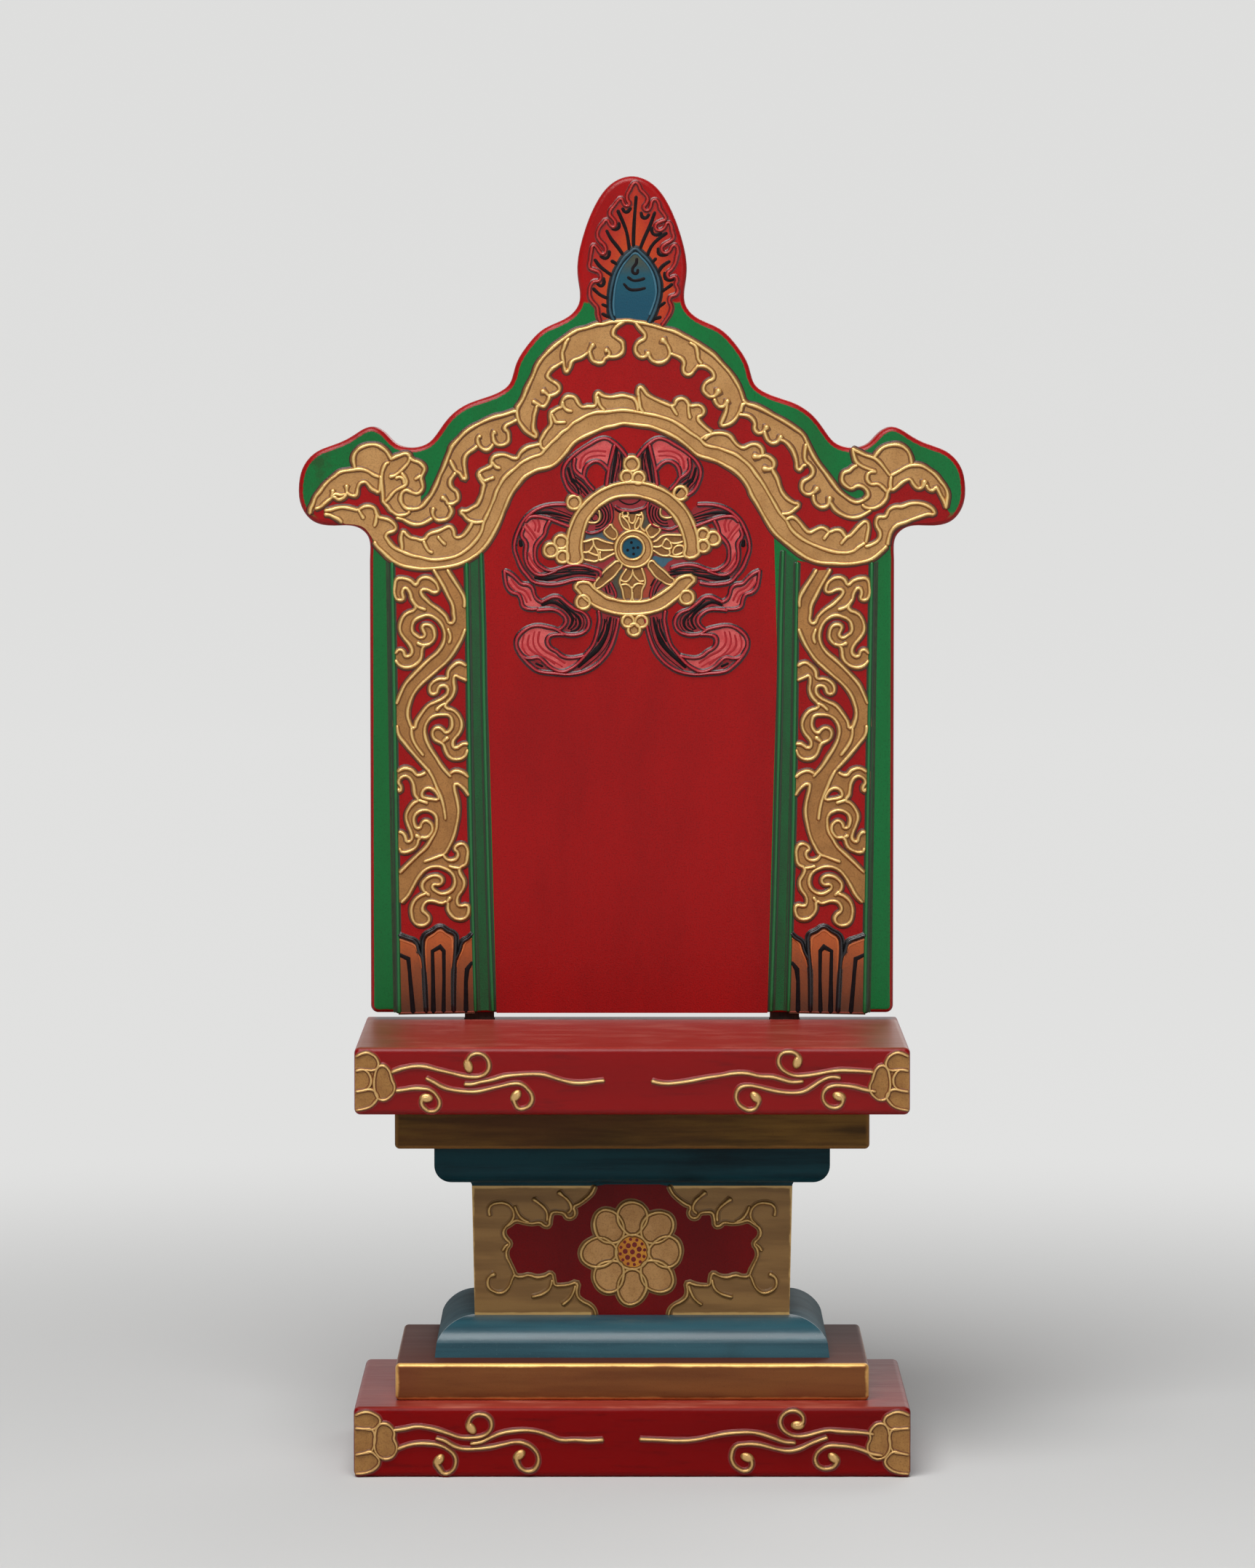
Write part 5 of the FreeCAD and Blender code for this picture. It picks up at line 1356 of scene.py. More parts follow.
rimUpper = [
    (809.5, 768), (809.5, 750), (811, 736), (814, 724), (818.5, 712), (824.5, 703.6), (831.6, 695.4),
    (841.4, 688.3), (850, 683.4), (861, 680), (876, 679), (887, 679.4), (898, 682), (909, 685.6),
    (917.7, 690), (926.4, 696), (934, 703.6), (940.6, 712.3), (946, 723), (950.4, 736), (952.6, 750.5),
    (952, 763.5)]
rimOuter = ringPoints(wheel["centreX"], wheel["centreY"], wheel["rimOuter"], -6.7, 199, 30)
rimUpper = rimOuter + rimUpper
rimLower = [
    (818, 797), (826, 805), (836, 812.6), (843.6, 818), (854.5, 821.3), (862, 823.5), (880.6, 825),
    (894.8, 824.5), (904.6, 821.8), (915.5, 815.8), (925.3, 809.3), (935, 802), (944, 793),
    (963.5, 794), (955.8, 804.9), (944.9, 815.8), (932.9, 825.6), (919.9, 834.4), (909, 838.2),
    (895.9, 840.9), (876.3, 841.8), (858.8, 840.4), (845.8, 837), (832.7, 832.2), (821.8, 825.6),
    (813, 818.6), (805.4, 809.3), (801, 801.7)]
goldPipe("wheelRimPiping", [], onto([rimUpper, rimLower]), lineHalf["wheel"], "wheel_rim")
plate("wheelRimGilding", board, onto([rimUpper, rimLower]), 0.00014, goldFlat, "gilt_paste")

studLoops = rings(wheel["studs"], wheel["studRadius"], 12)
goldPipe("wheelStudPiping", [], studLoops, lineHalf["wheel"], "wheel_studs")
plate("wheelStudGilding", board, studLoops, 0.00015, goldFlat, "gilt_paste")

tipLoops = onto([ringPoints(x, y, radius, 0, 360, 12) for x, y, radius in wheel["tips"]])
goldPipe("wheelTipPiping", [], tipLoops, lineHalf["wheel"], "wheel_tips")
goldPlates("wheelTipGilding", board, tipLoops, 0.00013, 3)

hubRing = rings([(881.7, 752.4)], 25, 24)[0]
innerRing = rings([(879.8, 751)], 16, 20)[0]
bossRing = rings([(880.5, 751.3)], 13.8, 18)[0]
goldPipe("wheelHubPiping", [], [hubRing, innerRing], lineHalf["hub"], "wheel_hub")
plate("wheelHubGilding", board, [hubRing], 0.00015, goldFlat, "gilt_paste")
hubBlue = plate("wheelHubBlue", board, [innerRing], 0.00019, jewelFinish(), "blue_paste")
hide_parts("hub_boss")
pipe("wheelHubInk", board, [], [bossRing], 0.0003, 0.0002, inkFlat)
hubDots = [(878.5, 743.4), (881.2, 751), (887.2, 750.5), (873.2, 753.7), (881.2, 759.2)]
plate("wheelHubDots", board, rings(hubDots, 2.0, 8), 0.00023, inkFlat, "blue_paste")

spokes = {
    "top": {
        "fill": [
            (863, 703), (872, 700), (880, 703), (888, 702.5), (893, 702), (895, 708.5), (893.5, 716),
            (892, 722), (897, 728), (889, 730), (876, 730), (868, 722), (864.3, 715.5), (862.7, 708)],
        "lines": [
            [(877, 727), (872, 725.5), (867.5, 721.5), (864.5, 715), (863, 708.5), (864, 704)],
            [(897, 728), (892, 723), (893.5, 716), (895, 708.5), (893, 702.5)],
            [(866, 708), (871, 707.5), (875.5, 709), (876.5, 714.5), (880.5, 717.2), (883, 715),
             (884.8, 709.5), (886, 706), (890, 706.5), (893, 705)],
            [(868, 709), (872, 713), (875.5, 719), (877, 724)],
            [(889, 709.5), (885.5, 716), (883.5, 721.5), (885, 725.5), (889, 722), (891.5, 716),
             (891.8, 711)]]},
    "right": {
        "fill": [
            (906, 743), (913, 741.5), (918.5, 736.8), (925, 734.2), (947, 734.8), (950, 745),
            (952, 763.5), (943, 764.5), (930, 762.5), (918.8, 761.5), (908, 757)],
        "lines": [
            [(909, 743), (913, 741.5), (918.5, 736.8), (925, 734.2), (936, 734.2), (947, 734.8)],
            [(909, 749.9), (914.4, 750.2), (919.9, 748.3), (923.1, 742.8), (927, 739.6), (930.8, 742.8),
             (934, 745), (941.7, 745.6), (948.7, 743.4)],
            [(919.9, 748.3), (922.5, 750.5), (926.4, 752.6), (931.8, 752.6), (933.5, 748.3), (932, 745)],
            [(908.5, 755), (913.3, 758), (918.8, 761.4), (924.2, 762.4), (929.7, 761.4), (931, 756),
             (928.5, 753)],
            [(935, 758.5), (935.7, 754.8), (939.5, 749.9), (946, 748.8), (949.8, 751), (949.3, 757),
             (943, 760.8), (937.3, 761.4), (935, 758.5)],
            [(930, 762), (936, 764), (943, 764.5), (950, 763.5)]]},
    "left": {
        "fill": [
            (857, 745), (853.4, 744.5), (845.8, 742.8), (838, 740), (832.7, 737.9), (826, 738),
            (817.4, 740.6), (811, 741.5), (810, 760), (813, 764.6), (821.8, 767.3), (829, 768.4),
            (836, 766.8), (843.6, 763.5), (851.2, 759.7), (857, 757)],
        "lines": [
            [(812.5, 741.2), (817.4, 740.6), (826.2, 737.9), (832.7, 737.9), (838, 740), (845.8, 742.8),
             (853.4, 744.5)],
            [(826, 739), (827, 744), (829.5, 749.5), (833.8, 752.6), (843.6, 753.7), (853.4, 753.2)],
            [(811, 755.6), (819.6, 755.2), (823.4, 750.5), (826, 746.5), (826.5, 742)],
            [(820, 755.6), (826.2, 758.6), (832.5, 759.5), (832.5, 755.5), (830.5, 751)],
            [(832.5, 760), (833, 765.5), (829, 768.4), (821.8, 767.3), (813, 764.6), (811, 760)],
            [(833, 766), (836, 766.8), (843.6, 763.5), (851.2, 759.7), (855, 758)],
            [(835.5, 756), (835, 761), (836.5, 765.5)]]},
    "bottom": {
        "fill": [
            (870, 777), (893, 777), (894.3, 785.5), (896, 792), (896.5, 798.4), (894.8, 803),
            (892, 808.5), (891, 815.8), (890.5, 824), (880, 825), (867.5, 824), (866, 814), (865, 808),
            (862.7, 802), (861.6, 797.5), (862.7, 793), (865.4, 787.5)],
        "lines": [
            [(871, 780), (865.4, 787.5), (862.7, 793), (861.6, 797.5), (862.7, 802), (865, 808),
             (866, 814), (867.6, 821), (871, 824.3), (875.2, 823.8), (877.5, 819.5), (878, 812.6),
             (878, 804.9)],
            [(892, 779), (894.3, 785.5), (896, 792), (896.5, 798.4), (894.8, 803), (892, 808.5),
             (891, 815.8), (890, 821.5), (886, 824.3), (881.5, 823.8), (879, 820), (878.8, 812.6)],
            [(864, 795), (868, 797), (871.5, 796.8), (875.2, 793), (878, 788.6), (879.8, 781)],
            [(880, 784), (881.5, 788.5), (885, 793), (889.5, 797), (894.5, 796.5)],
            [(863.5, 801.5), (870, 800.5), (875, 803), (878, 806), (882, 802), (887, 800), (894, 801)]]}}
spokeArms = [
    [(861, 768.5), (849.5, 775), (839.5, 783.5), (832.5, 792), (827, 799), (828.5, 805.5), (835, 803.8),
     (843.6, 797.3), (852.3, 790.8), (860, 781.5), (865, 773)],
    [(906, 769), (912, 774), (918, 779.5), (925.5, 786), (931, 792), (936, 796), (933.5, 801.5),
     (928.6, 802), (920, 797.3), (911, 790.8), (905.5, 783), (901, 774)],
    [(859, 729.5), (853, 722), (851, 718.5), (846, 722), (841.5, 727.5), (845, 733), (850, 737),
     (856, 738.5)],
    [(899, 727), (902, 722.5), (906, 719), (911, 720.5), (918, 725.5), (917, 729), (912, 734),
     (906, 737.2), (902, 734), (900.5, 730)]]
spokeLines = []
spokeFills = onto(spokeArms)
for spoke in spokes.values():
    spokeLines = spokeLines + onto(spoke["lines"])
    spokeFills = spokeFills + onto([spoke["fill"]])
spokeRings = onto(spokeArms) + rings([(870.8, 703.6)], 4, 10)
spokePiping = pipe("wheelSpokePiping", board, spokeLines, spokeRings, wheel["fine"],
                   wheel["fineRise"], goldFineBead)
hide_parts("wheel_spokes")
plate("wheelSpokeGilding", board, spokeFills, 0.00009, cellGoldFlat, "gilt_paste")

wheelPatches = {
    "Crimson": (srgb(136, 32, 38), [ringPoints(880.5, 751.5, 74, 0, 360, 30)]),
    "BlueGrey": (srgb(60, 76, 84),
     [
         [(812.5, 736), (815.3, 732), (822.9, 730.8), (833.8, 729.2), (839.2, 728.7), (843.6, 735.2),
          (846.9, 737.4), (854.5, 741.7), (853.9, 744), (832.7, 736.8), (817.4, 739.6)]]),
    "Orange": (srgb(150, 56, 34),
     [
         [(855, 700), (862, 701), (862.5, 712), (866, 722), (869, 727), (863, 728), (857, 722),
          (853, 715), (852, 706)],
         [(894.8, 779.3), (901.3, 783), (909, 792), (904.6, 802.8), (900.2, 821.3), (891.5, 823),
          (892.6, 812.6), (897, 799.5), (895.9, 789.7)]]),
    "Olive": (srgb(66, 62, 48),
     [
         [(895.3, 701.4), (901.3, 701.4), (901.9, 710), (904.6, 718), (901.3, 721), (895.9, 725.4),
          (893.7, 724), (894.8, 715.6)],
         [(865.4, 779.3), (865.4, 786.4), (861, 793), (860.5, 799.5), (864.3, 808), (865.4, 821.3),
          (860, 821.8), (856.7, 810.4), (852.3, 798.4), (853.4, 793), (858.8, 786.4)]]),
    "Blue": (srgb(52, 88, 104),
     [
         [(909, 762.4), (917.7, 764.6), (929.7, 765.7), (935, 766.3), (928.6, 771), (922, 777.7),
          (917.7, 777), (911, 772.3), (907.3, 768)]])}
for number, (patchName, (tint, outlines)) in enumerate(wheelPatches.items()):
    shade = tuple(part * 0.55 for part in tint[:3]) + (1.0,)
    patchPaint = flatPaint("wheel" + patchName, {"base": tint, "worn": tint, "dark": shade}, 4.0)
    plate("wheel" + patchName + "Ground", board, onto(outlines), 0.00005 + number * hair,
          patchPaint, "crimson_paste" if patchName == "Crimson" else "blue_paste")
coils = {
    "gold": [
        [(834.9, 699.2), (836, 706.9), (833.2, 713.4), (826.2, 715.6), (820.7, 714.5)],
        [(919.3, 698.2), (918.8, 704.7), (922, 709), (928.6, 710.7), (934, 709.6)]],
    "pink": [
        [(850, 690.5), (852.3, 700.3), (851.8, 712.3), (846.9, 719), (838, 725.4), (830.5, 728.7),
         (821.8, 729.8), (816.3, 727.6)],
        [(902.4, 689.4), (901.3, 700.3), (903, 710), (907.3, 719), (915.5, 723), (925.3, 726),
         (934, 726.5), (942.7, 722)],
        [(856.7, 693.8), (863.2, 698.2), (871.9, 699.8), (880, 700.5), (889.4, 698.7), (897, 696.5),
         (902.4, 690.5)],
        [(849, 798.4), (853.4, 807), (856, 815.8), (854.5, 820.2)],
        [(913.3, 794), (907.9, 802.8), (904.6, 812.6), (903.5, 821.3)]],
    "ink": [
        ringPoints(829, 706, 11, 70, -105, 9), ringPoints(829, 706, 15, 70, -105, 9),
        ringPoints(829, 706, 19, 70, -105, 10), ringPoints(829.4, 708, 5, 0, 350, 8),
        ringPoints(926, 704, 10, 150, 295, 9), ringPoints(926, 704, 14, 150, 295, 9),
        ringPoints(926, 704, 18, 150, 295, 10), ringPoints(926, 704, 22, 150, 290, 10),
        [(863, 685), (869.7, 689.4), (878.5, 691), (886, 689), (891.5, 685)],
        [(857, 697.5), (863.2, 701.5), (880, 703.6), (889.4, 702), (901, 694)],
        [(841.4, 804.4), (843.6, 812.6)], [(845.8, 801.7), (847.9, 811.5)],
        [(918.8, 798.4), (913.3, 806), (909, 815.8)], [(909, 794), (904, 803)]]}
pipe("wheelCoilEdges", board, onto(coils["gold"]), [], 0.00036, wheel["fineRise"], goldFineBead)
pipe("wheelCoilBeads", board, onto(coils["pink"]), [], 0.0004, 0.0007, ribbonBead)
pipe("wheelCoilInk", board, onto(coils["ink"]), [], 0.00026, 0.0002, inkFlat)
print("wheel is on")


# flowers and tendrils on the two slabs

seatFlower = {
    "whole": [
        (523, 1463), (530, 1460), (538, 1466), (541, 1474), (543, 1481), (546, 1488), (545, 1496),
        (540, 1503), (531, 1508), (523, 1505), (519, 1495), (518, 1484), (519, 1475)],
    "cut": [
        [(494, 1447), (507, 1442), (516, 1445), (522, 1451), (524, 1460), (519, 1466), (505, 1466),
         (494, 1467)],
        [(494, 1467), (505, 1466), (512, 1473), (514, 1482), (510, 1491), (502, 1495), (494, 1496)],
        [(494, 1496), (502, 1495), (513, 1493), (520, 1497), (523, 1503), (519, 1511), (511, 1518),
         (494, 1522)]],
    "ground": [
        (492, 1447), (507, 1442), (516, 1445), (522, 1451), (524, 1460), (530, 1460), (538, 1466),
        (541, 1474), (546, 1488), (545, 1496), (540, 1503), (531, 1508), (523, 1505), (519, 1511),
        (511, 1518), (492, 1522)]}
seatTendrils = [
    [(543, 1469), (551, 1466), (562, 1463), (576, 1461), (590, 1462), (605, 1466), (622, 1470),
     (638, 1474), (652, 1476), (664, 1475), (673, 1469), (676, 1460), (673, 1450), (665, 1444),
     (655, 1444), (648, 1449), (646, 1457, 1.3), (648, 1463, 1.8)],
    [(549, 1495), (558, 1494), (570, 1492), (583, 1492), (595, 1494), (604, 1502), (608, 1512),
     (604, 1521), (596, 1524), (588, 1520), (583, 1512), (586, 1505, 1.6), (592, 1505, 1.6)],
    [(590, 1478), (600, 1483), (612, 1490), (626, 1494), (642, 1496), (660, 1496), (678, 1492),
     (695, 1488), (710, 1485), (720, 1486), (729, 1493), (735, 1503), (733, 1513), (726, 1519),
     (717, 1520), (711, 1512), (710, 1505, 1.5), (714, 1500, 1.6)],
    [(643, 1486), (652, 1486), (664, 1483), (680, 1480), (697, 1475), (715, 1473), (735, 1472),
     (752, 1473), (765, 1477), (778, 1481), (792, 1484), (808, 1484), (822, 1482), (833, 1481)],
    [(1202, 1469), (1190, 1468), (1172, 1467), (1155, 1467), (1140, 1469), (1125, 1472), (1110, 1474),
     (1095, 1474), (1083, 1469), (1075, 1461), (1073, 1452), (1077, 1444), (1086, 1441), (1096, 1443),
     (1101, 1450, 1.2), (1098, 1458, 1.8)],
    [(1206, 1496), (1193, 1494), (1178, 1490), (1162, 1488), (1148, 1488), (1138, 1493), (1134, 1502),
     (1137, 1512), (1145, 1518), (1155, 1518), (1161, 1511), (1160, 1504, 1.4), (1154, 1502, 1.7)],
    [(1157, 1477), (1145, 1476), (1132, 1481), (1120, 1489), (1108, 1496), (1095, 1498), (1078, 1497),
     (1062, 1494), (1046, 1490), (1030, 1488), (1020, 1491), (1015, 1500), (1017, 1511), (1025, 1519),
     (1036, 1522), (1044, 1516), (1045, 1507, 1.4), (1040, 1502, 1.7)],
    [(1106, 1482), (1092, 1483), (1080, 1480), (1065, 1476), (1048, 1475), (1030, 1471), (1012, 1471),
     (995, 1474), (975, 1477), (955, 1481), (935, 1484), (915, 1485), (900, 1482)]]
baseFlower = {
    "whole": [
        (514, 1960), (524, 1958), (532, 1963), (536, 1971), (535, 1978), (539, 1988), (537, 1998),
        (529, 2005), (519, 2005), (511, 1998), (508, 1987), (509, 1975)],
    "cut": [
        [(483, 1946), (496, 1942), (508, 1945), (516, 1952), (514, 1960), (505, 1966), (494, 1965),
         (483, 1964)],
        [(483, 1964), (494, 1965), (505, 1966), (509, 1975), (508, 1987), (503, 1996), (494, 1998),
         (483, 2000)],
        [(483, 2000), (494, 1998), (503, 1996), (510, 2001), (515, 2009), (509, 2019), (495, 2025),
         (483, 2026)]],
    "ground": [
        (481, 1946), (496, 1942), (508, 1945), (516, 1952), (524, 1958), (532, 1963), (536, 1971),
        (535, 1978), (539, 1988), (537, 1998), (529, 2005), (519, 2005), (515, 2010), (509, 2019),
        (495, 2025), (481, 2026)]}
baseTendrils = [
    [(535, 1967), (550, 1965), (565, 1962), (580, 1963), (597, 1967), (612, 1972), (628, 1977),
     (643, 1977), (657, 1975), (667, 1968), (670, 1958), (666, 1949), (656, 1945), (645, 1947),
     (639, 1954), (639, 1961, 1.4), (643, 1966, 1.8)],
    [(541, 1992), (552, 1988), (567, 1985), (582, 1985), (597, 1987), (610, 1993), (619, 2002),
     (620, 2013), (614, 2023), (605, 2026), (598, 2019, 1.2), (594, 2011, 1.6), (599, 2005, 1.8)],
    [(594, 1978), (605, 1981), (617, 1988), (630, 1992), (648, 1992), (668, 1990), (687, 1986),
     (703, 1983), (717, 1985), (728, 1992), (734, 2002), (733, 2014), (725, 2022), (714, 2021),
     (706, 2012, 1.2), (705, 2003, 1.5), (710, 1999, 1.7)],
    [(642, 1985), (655, 1983), (668, 1977), (683, 1971), (700, 1968), (720, 1967), (738, 1970),
     (752, 1975), (765, 1980), (785, 1980), (805, 1981), (823, 1980)],
    [(1196, 1972), (1180, 1970), (1162, 1969), (1146, 1968), (1135, 1967), (1120, 1970), (1105, 1974),
     (1090, 1975), (1078, 1971), (1070, 1963), (1068, 1953), (1074, 1944), (1085, 1940), (1095, 1943),
     (1100, 1952), (1095, 1960, 1.6), (1090, 1960, 1.8)],
    [(1208, 2001), (1195, 1999), (1182, 1994), (1168, 1990), (1150, 1988), (1135, 1988), (1124, 1993),
     (1117, 2001), (1117, 2011), (1124, 2018), (1136, 2019), (1144, 2014), (1145, 2007, 1.5),
     (1140, 2003, 1.7)],
    [(1132, 1977), (1120, 1981), (1108, 1986), (1095, 1992), (1080, 1995), (1065, 1993), (1050, 1989),
     (1035, 1986), (1018, 1986), (1006, 1989), (1001, 1999), (1002, 2010), (1010, 2019), (1022, 2022),
     (1029, 2014), (1026, 2005, 1.5), (1020, 2003, 1.7)],
    [(1088, 1984), (1075, 1983), (1060, 1978), (1045, 1973), (1030, 1970), (1010, 1970), (990, 1972),
     (970, 1976), (950, 1980), (925, 1981), (900, 1980), (875, 1979)]]


def slabOrnament(name, face, flower, tendrils, bead, flowerNodes, tendrilNodes):
    petalLines = pipe(name + "FlowerPiping", face, bothSides(face, flower["cut"]),
                      bothSides(face, [flower["whole"]]), lineHalf["slabFlower"], boardRise,
                      bead)
    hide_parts(*flowerNodes)
    plate(name + "FlowerGilding", face, bothSides(face, [flower["ground"]]), 0.00013,
          slabGoldFlat, "gilt_paste", True)
    tendrilLines = [placed(face, line) for line in tendrils]
    drops = []
    for line in tendrilLines:
        if line[-1][2] > 1.3:
            x, z = line[-1][:2]
            dx, dz = x - line[-2][0], z - line[-2][1]
            drops.append((x - dx * 0.4, z - dz * 0.4, 0.0016, 0.0024, math.atan2(dx, dz)))
            line[-2] = (line[-2][0], line[-2][1], 1.3)
            line[-1] = (x, z, 1.3)
    made = pipe(name + "Tendrils", face, tendrilLines, [], lineHalf["tendril"], boardRise, bead)
    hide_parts(*tendrilNodes)
    blobs(name + "TendrilDrops", face, drops, boardRise * 1.25, bead)


for level, face, flower, tendrils, bead in (
        ("seat", seat, seatFlower, seatTendrils, goldSeatBead),
        ("base", base, baseFlower, baseTendrils, goldBaseBead)):
    slabOrnament(level, face, flower, tendrils, bead,
                 ["left_" + level + "_flower", "right_" + level + "_flower"],
                 ["left_" + level + "_tendrils", "right_" + level + "_tendrils"])
print("slab ornament is on")


# waist panels and flower

waistEdge = [
    (812, 1637), (808, 1645), (800, 1653), (790, 1660), (783, 1664), (785, 1672), (781, 1678),
    (774, 1678), (770, 1673), (762, 1671), (753, 1672), (750, 1680), (748, 1689), (743, 1689),
    (737, 1685), (725, 1686), (712, 1684), (704, 1682), (695, 1687), (688, 1692), (686, 1700),
    (690, 1707), (695, 1713), (691, 1720), (690, 1729), (694, 1738), (699, 1748), (703, 1756),
    (712, 1757), (720, 1755), (732, 1758), (744, 1756), (752, 1753), (755, 1761), (757, 1768),
    (766, 1769), (776, 1768), (787, 1766), (787, 1775), (788, 1783), (795, 1790), (805, 1795),
    (811, 1801), (813, 1808)]
waistVeins = [
    [(763, 1645, 1.3), (769, 1650), (775, 1655), (779, 1662), (779, 1668), (775, 1672)],
    [(728, 1654, 1.3), (735, 1659), (742, 1665), (746, 1672), (746, 1682)],
    [(667, 1675), (666, 1668), (669, 1662), (677, 1659), (687, 1659), (695, 1663), (700, 1671),
     (699, 1680), (692, 1688)],
    [(702, 1664), (706, 1673), (712, 1680), (720, 1684)],
    [(726, 1784), (735, 1782), (744, 1778), (750, 1772), (753, 1762)],
    [(768, 1794), (776, 1788), (781, 1781), (785, 1770)],
    [(673, 1754, 1.4), (667, 1757), (664, 1764), (666, 1772), (673, 1777), (682, 1779), (690, 1775),
     (695, 1768), (698, 1760), (701, 1755)],
    [(685, 1722), (688, 1717), (692, 1714)]]
waistField = placed(waist, waistEdge)
waistFieldRing = waistField + [(-x, z, thick) for x, z, thick in reversed(waistField)]
plate("waistRedField", waist, [waistFieldRing], 0.00004,
      flatPaint("waistRedGround", waistRed, 26.0, 0.0, 0.3, (1, 1, 0.3), 0.0, 0.15),
      "crimson_paste")
waistPiping = pipe("waistPanelPiping", waist, bothSides(waist, [waistEdge] + waistVeins), [],
                   lineHalf["waistLeaf"], 0.0008, goldWaistBead)
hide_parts("left_waist_panel", "right_waist_panel")

waistFlower = {"centreX": 864.0, "centreY": 1724.0, "eye": 23.0, "count": 8,
               "petal": [(22, 0), (30, 13), (46, 20), (60, 16), (68, 6), (68, -6), (60, -16),
                         (46, -20), (30, -13)],  # out from the middle and to the side
               "dots": [(0, 1, 3.4), (10, 7, 3.4), (17, 12, 2.2)]}  # place, how many, radius
petalLoops = []
for number in range(waistFlower["count"]):
    turn = math.radians(90 + 360 / waistFlower["count"] * number)
    loop = []
    for around, (out, side) in enumerate(waistFlower["petal"]):
        size = 1 + 0.04 * math.sin(number * 2.1 + around)
        loop.append((waistFlower["centreX"] + (out * math.cos(turn) - side * math.sin(turn)) * size,
                     waistFlower["centreY"] - (out * math.sin(turn) + side * math.cos(turn)) * size))
    petalLoops.append(placed(waist, loop))
flowerPiping = pipe("waistFlowerPiping", waist, [], petalLoops, lineHalf["waistFlower"], boardRise,
                    goldWaistBead)
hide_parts("waist_flower_petals")
goldPlates("waistPetalGilding", waist, petalLoops, 0.00013, 2)
eyeYellow = flatPaint("flowerEyeYellow", {"base": srgb(206, 138, 40), "worn": srgb(190, 118, 30),
                                          "dark": srgb(140, 80, 20)}, 5.0)
eyeRing = placed(waist, ringPoints(waistFlower["centreX"], waistFlower["centreY"],
                                   waistFlower["eye"], 0, 360, 20))
eyePiping = pipe("flowerEyePiping", waist, [], [eyeRing], lineHalf["waistFlower"], boardRise,
                 goldWaistBead)
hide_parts("waist_flower_centre")
plate("flowerEyeGround", waist, [eyeRing], 0.00017, eyeYellow, "yellow_paste")
eyeDots = []
for radius, count, size in waistFlower["dots"]:
    for index in range(count):
        turn = math.radians(360 * index / count + radius * 3)
        dotX = waistFlower["centreX"] + radius * math.cos(turn)
        dotY = waistFlower["centreY"] + radius * math.sin(turn)
        eyeDots.append(placed(waist, ringPoints(dotX, dotY, size, 0, 360, 8)))
dotRed = flatPaint("flowerEyeDots", {"base": srgb(120, 22, 20), "worn": srgb(104, 18, 18),
                                     "dark": srgb(70, 14, 14)}, 4.0)
plate("flowerEyeDots", waist, eyeDots, 0.00021, dotRed, "crimson_paste")
print("waist is on")


# floor, light and camera

studio = {"floorColour": srgb(200, 200, 199), "backdropColour": srgb(222, 222, 221),
          "keyPower": 32.0, "fillPower": 3.6, "rearPower": 9.0, "air": 0.15, "floorSize": 24.0,
          "rearFrom": 4.0, "wallForward": 5.0, "wallHeight": 18.0, "cove": 3.0,
          "nearReach": 0.16, "farReach": 0.85}


def pickRearEdge():  # the floor's rear edge, where it meets the wall
    bpy.ops.mesh.select_all(action="DESELECT")
    bpy.ops.object.mode_set(mode="OBJECT")
    for edge in floor.data.edges:
        ends = [floor.data.vertices[index].co for index in edge.vertices]
        edge.select = all(end.y > studio["rearFrom"] and end.z < 0.1 for end in ends)
    bpy.ops.object.mode_set(mode="EDIT")


clearPicks()
bpy.ops.mesh.primitive_plane_add(size=studio["floorSize"], location=(0, 0, 0))
floor = bpy.context.object
floor.name = "studioFloor"
bpy.ops.object.mode_set(mode="EDIT")
bpy.ops.mesh.select_mode(type="EDGE")
pickRearEdge()
bpy.ops.transform.translate(value=(0, -studio["wallForward"], 0))
bpy.ops.mesh.extrude_region_move(TRANSFORM_OT_translate={"value": (0, 0, studio["wallHeight"])})
pickRearEdge()
bpy.ops.mesh.bevel(offset=studio["cove"], segments=20, affect="EDGES")
bpy.ops.mesh.select_all(action="SELECT")
bpy.ops.mesh.normals_make_consistent(inside=False)
bpy.ops.object.mode_set(mode="OBJECT")
bpy.ops.object.shade_smooth_by_angle(angle=math.radians(60))
floorPaint = Paint("studioFloorPaint")
reach = floorPaint.add("ShaderNodeVectorMath", {"operation": "LENGTH"},
                       {0: floorPaint.place}, "Value")
seen = floorPaint.add("ShaderNodeLightPath", {}, {}, "Is Camera Ray")
shiny = Wire(floorPaint, seen.socket.node.outputs["Is Glossy Ray"])
through = Wire(floorPaint, seen.socket.node.outputs["Is Transmission Ray"])
far = floorPaint.ramp(reach, studio["nearReach"], studio["farReach"]) * (seen + shiny + through).low(1.0)
floorPaint.join("Emission Color", floorPaint.blend(far, srgb(0, 0, 0), studio["backdropColour"]))
floorPaint.join("Emission Strength", 1.0)
near = 1 - far
floorColour = floorPaint.blend(near, srgb(0, 0, 0), studio["floorColour"])
floor.data.materials.append(floorPaint.finish(floorColour, 0.8, 0.0, None, 0.1, 0.0, 0.1))


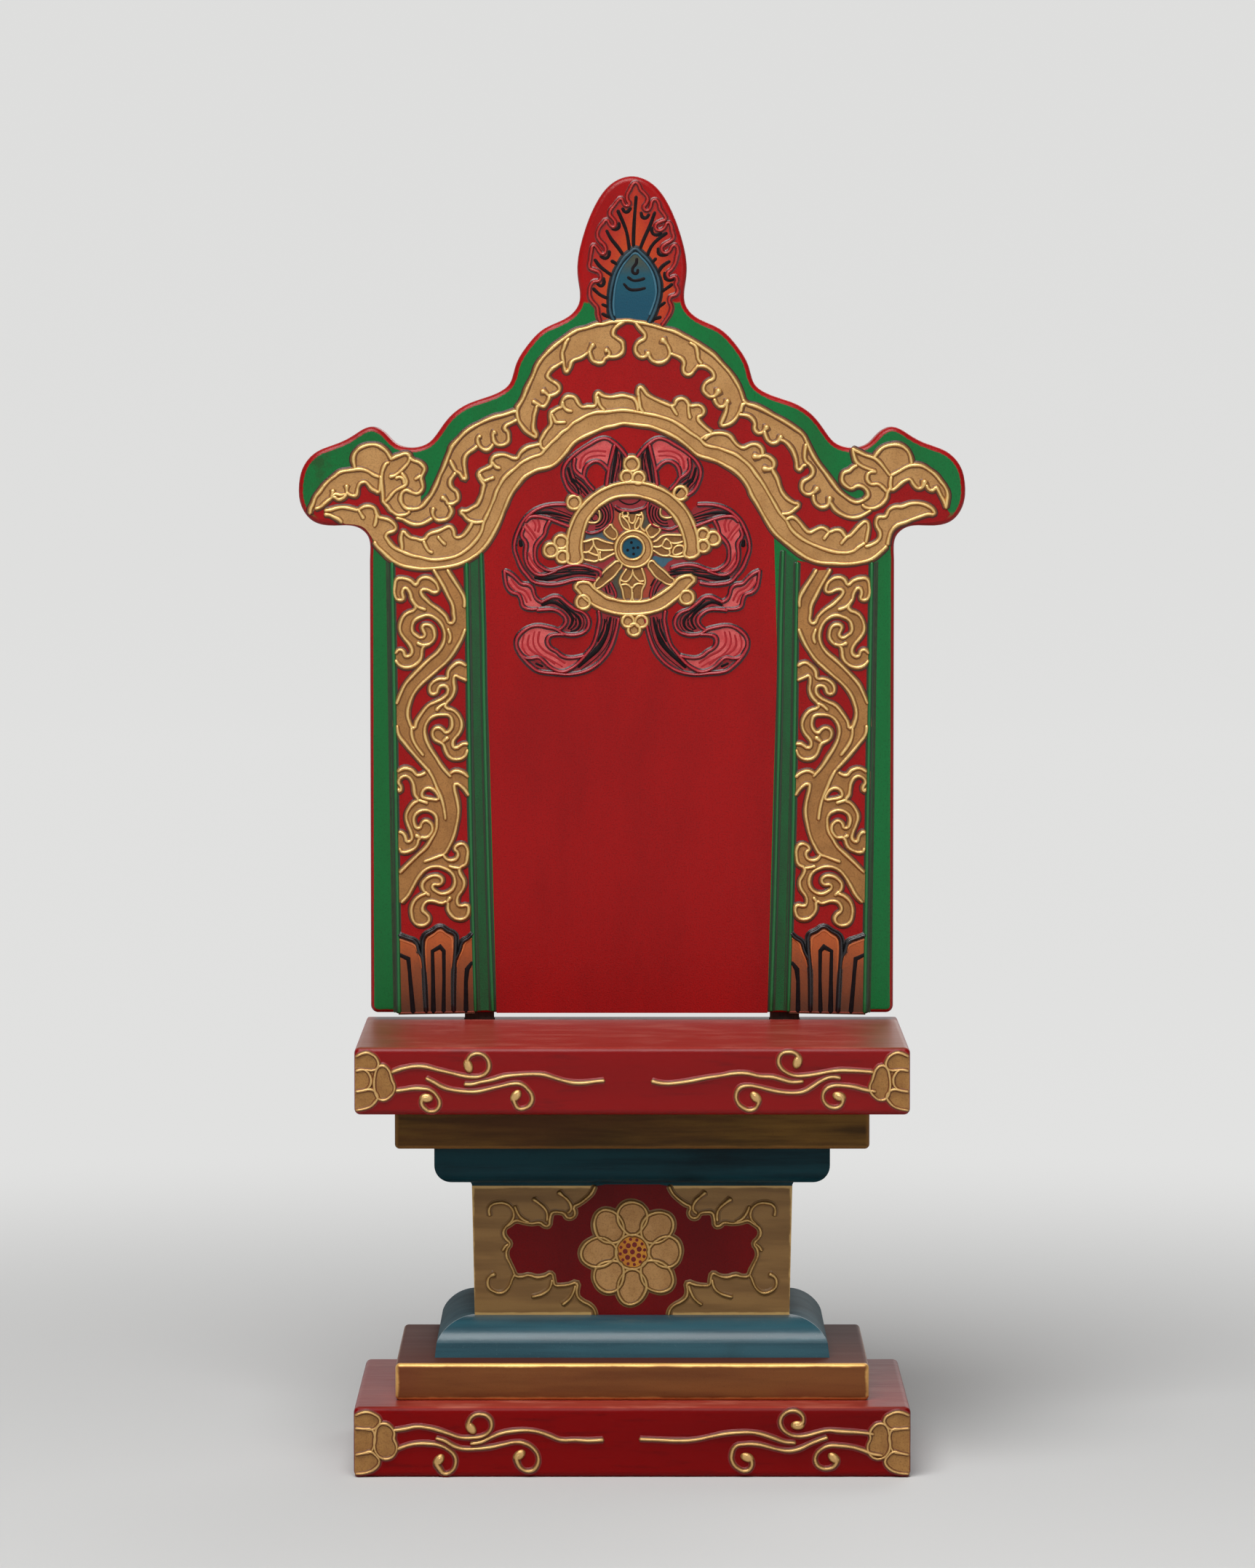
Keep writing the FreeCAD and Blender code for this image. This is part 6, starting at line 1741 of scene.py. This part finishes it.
def softbox(name, place, aim, size, power):
    clearPicks()
    bpy.ops.object.light_add(type="AREA", location=place)
    lamp = bpy.context.object
    lamp.name = name
    lamp.data.shape = "DISK"
    lamp.data.size = size
    lamp.data.energy = power
    across = [aim[index] - place[index] for index in range(3)]
    flat = math.hypot(across[0], across[1])
    pitch = math.atan2(flat, -across[2])
    turn = math.atan2(-across[0], across[1])
    lamp.rotation_euler = (pitch, 0, turn)


softbox("overheadSoftbox", (-0.25, -0.85, 1.5), (0, 0, 0.2), 1.3, studio["keyPower"])
softbox("frontFill", (0.8, -1.9, 0.6), (0, 0, 0.2), 1.2, studio["fillPower"])
softbox("rearFill", (0.7, 1.7, 1.2), (0, 0, 0.25), 1.2, studio["rearPower"])
air = bpy.data.worlds.new("studioAir")
air.use_nodes = True
lit = air.node_tree.nodes["Background"]
lit.inputs["Color"].default_value = (1, 1, 1, 1)
lit.inputs["Strength"].default_value = studio["air"]
shown = air.node_tree.nodes.new("ShaderNodeBackground")
shown.inputs["Color"].default_value = studio["backdropColour"]
shown.inputs["Strength"].default_value = 1.0
rays = air.node_tree.nodes.new("ShaderNodeLightPath")
either = air.node_tree.nodes.new("ShaderNodeMixShader")
air.node_tree.links.new(rays.outputs["Is Camera Ray"], either.inputs[0])
air.node_tree.links.new(lit.outputs[0], either.inputs[1])
air.node_tree.links.new(shown.outputs[0], either.inputs[2])
air.node_tree.links.new(either.outputs[0], air.node_tree.nodes["World Output"].inputs["Surface"])
bpy.context.scene.world = air
bpy.context.scene.view_settings.view_transform = "Standard"

shot = {"x": -0.00155, "y": -2.207, "z": 0.37545, "pitch": 0.067, "focalPixels": 9000.0,
        "frameHeight": 2156.0}
clearPicks()
bpy.ops.object.camera_add(location=(shot["x"], shot["y"], shot["z"]))
camera = bpy.context.object
camera.name = "frontCamera"
camera.rotation_euler = (math.pi / 2 - shot["pitch"], 0, 0)
camera.data.sensor_width = 36.0
camera.data.lens = shot["focalPixels"] / shot["frameHeight"] * 36.0
bpy.context.scene.camera = camera
print("stage is set")
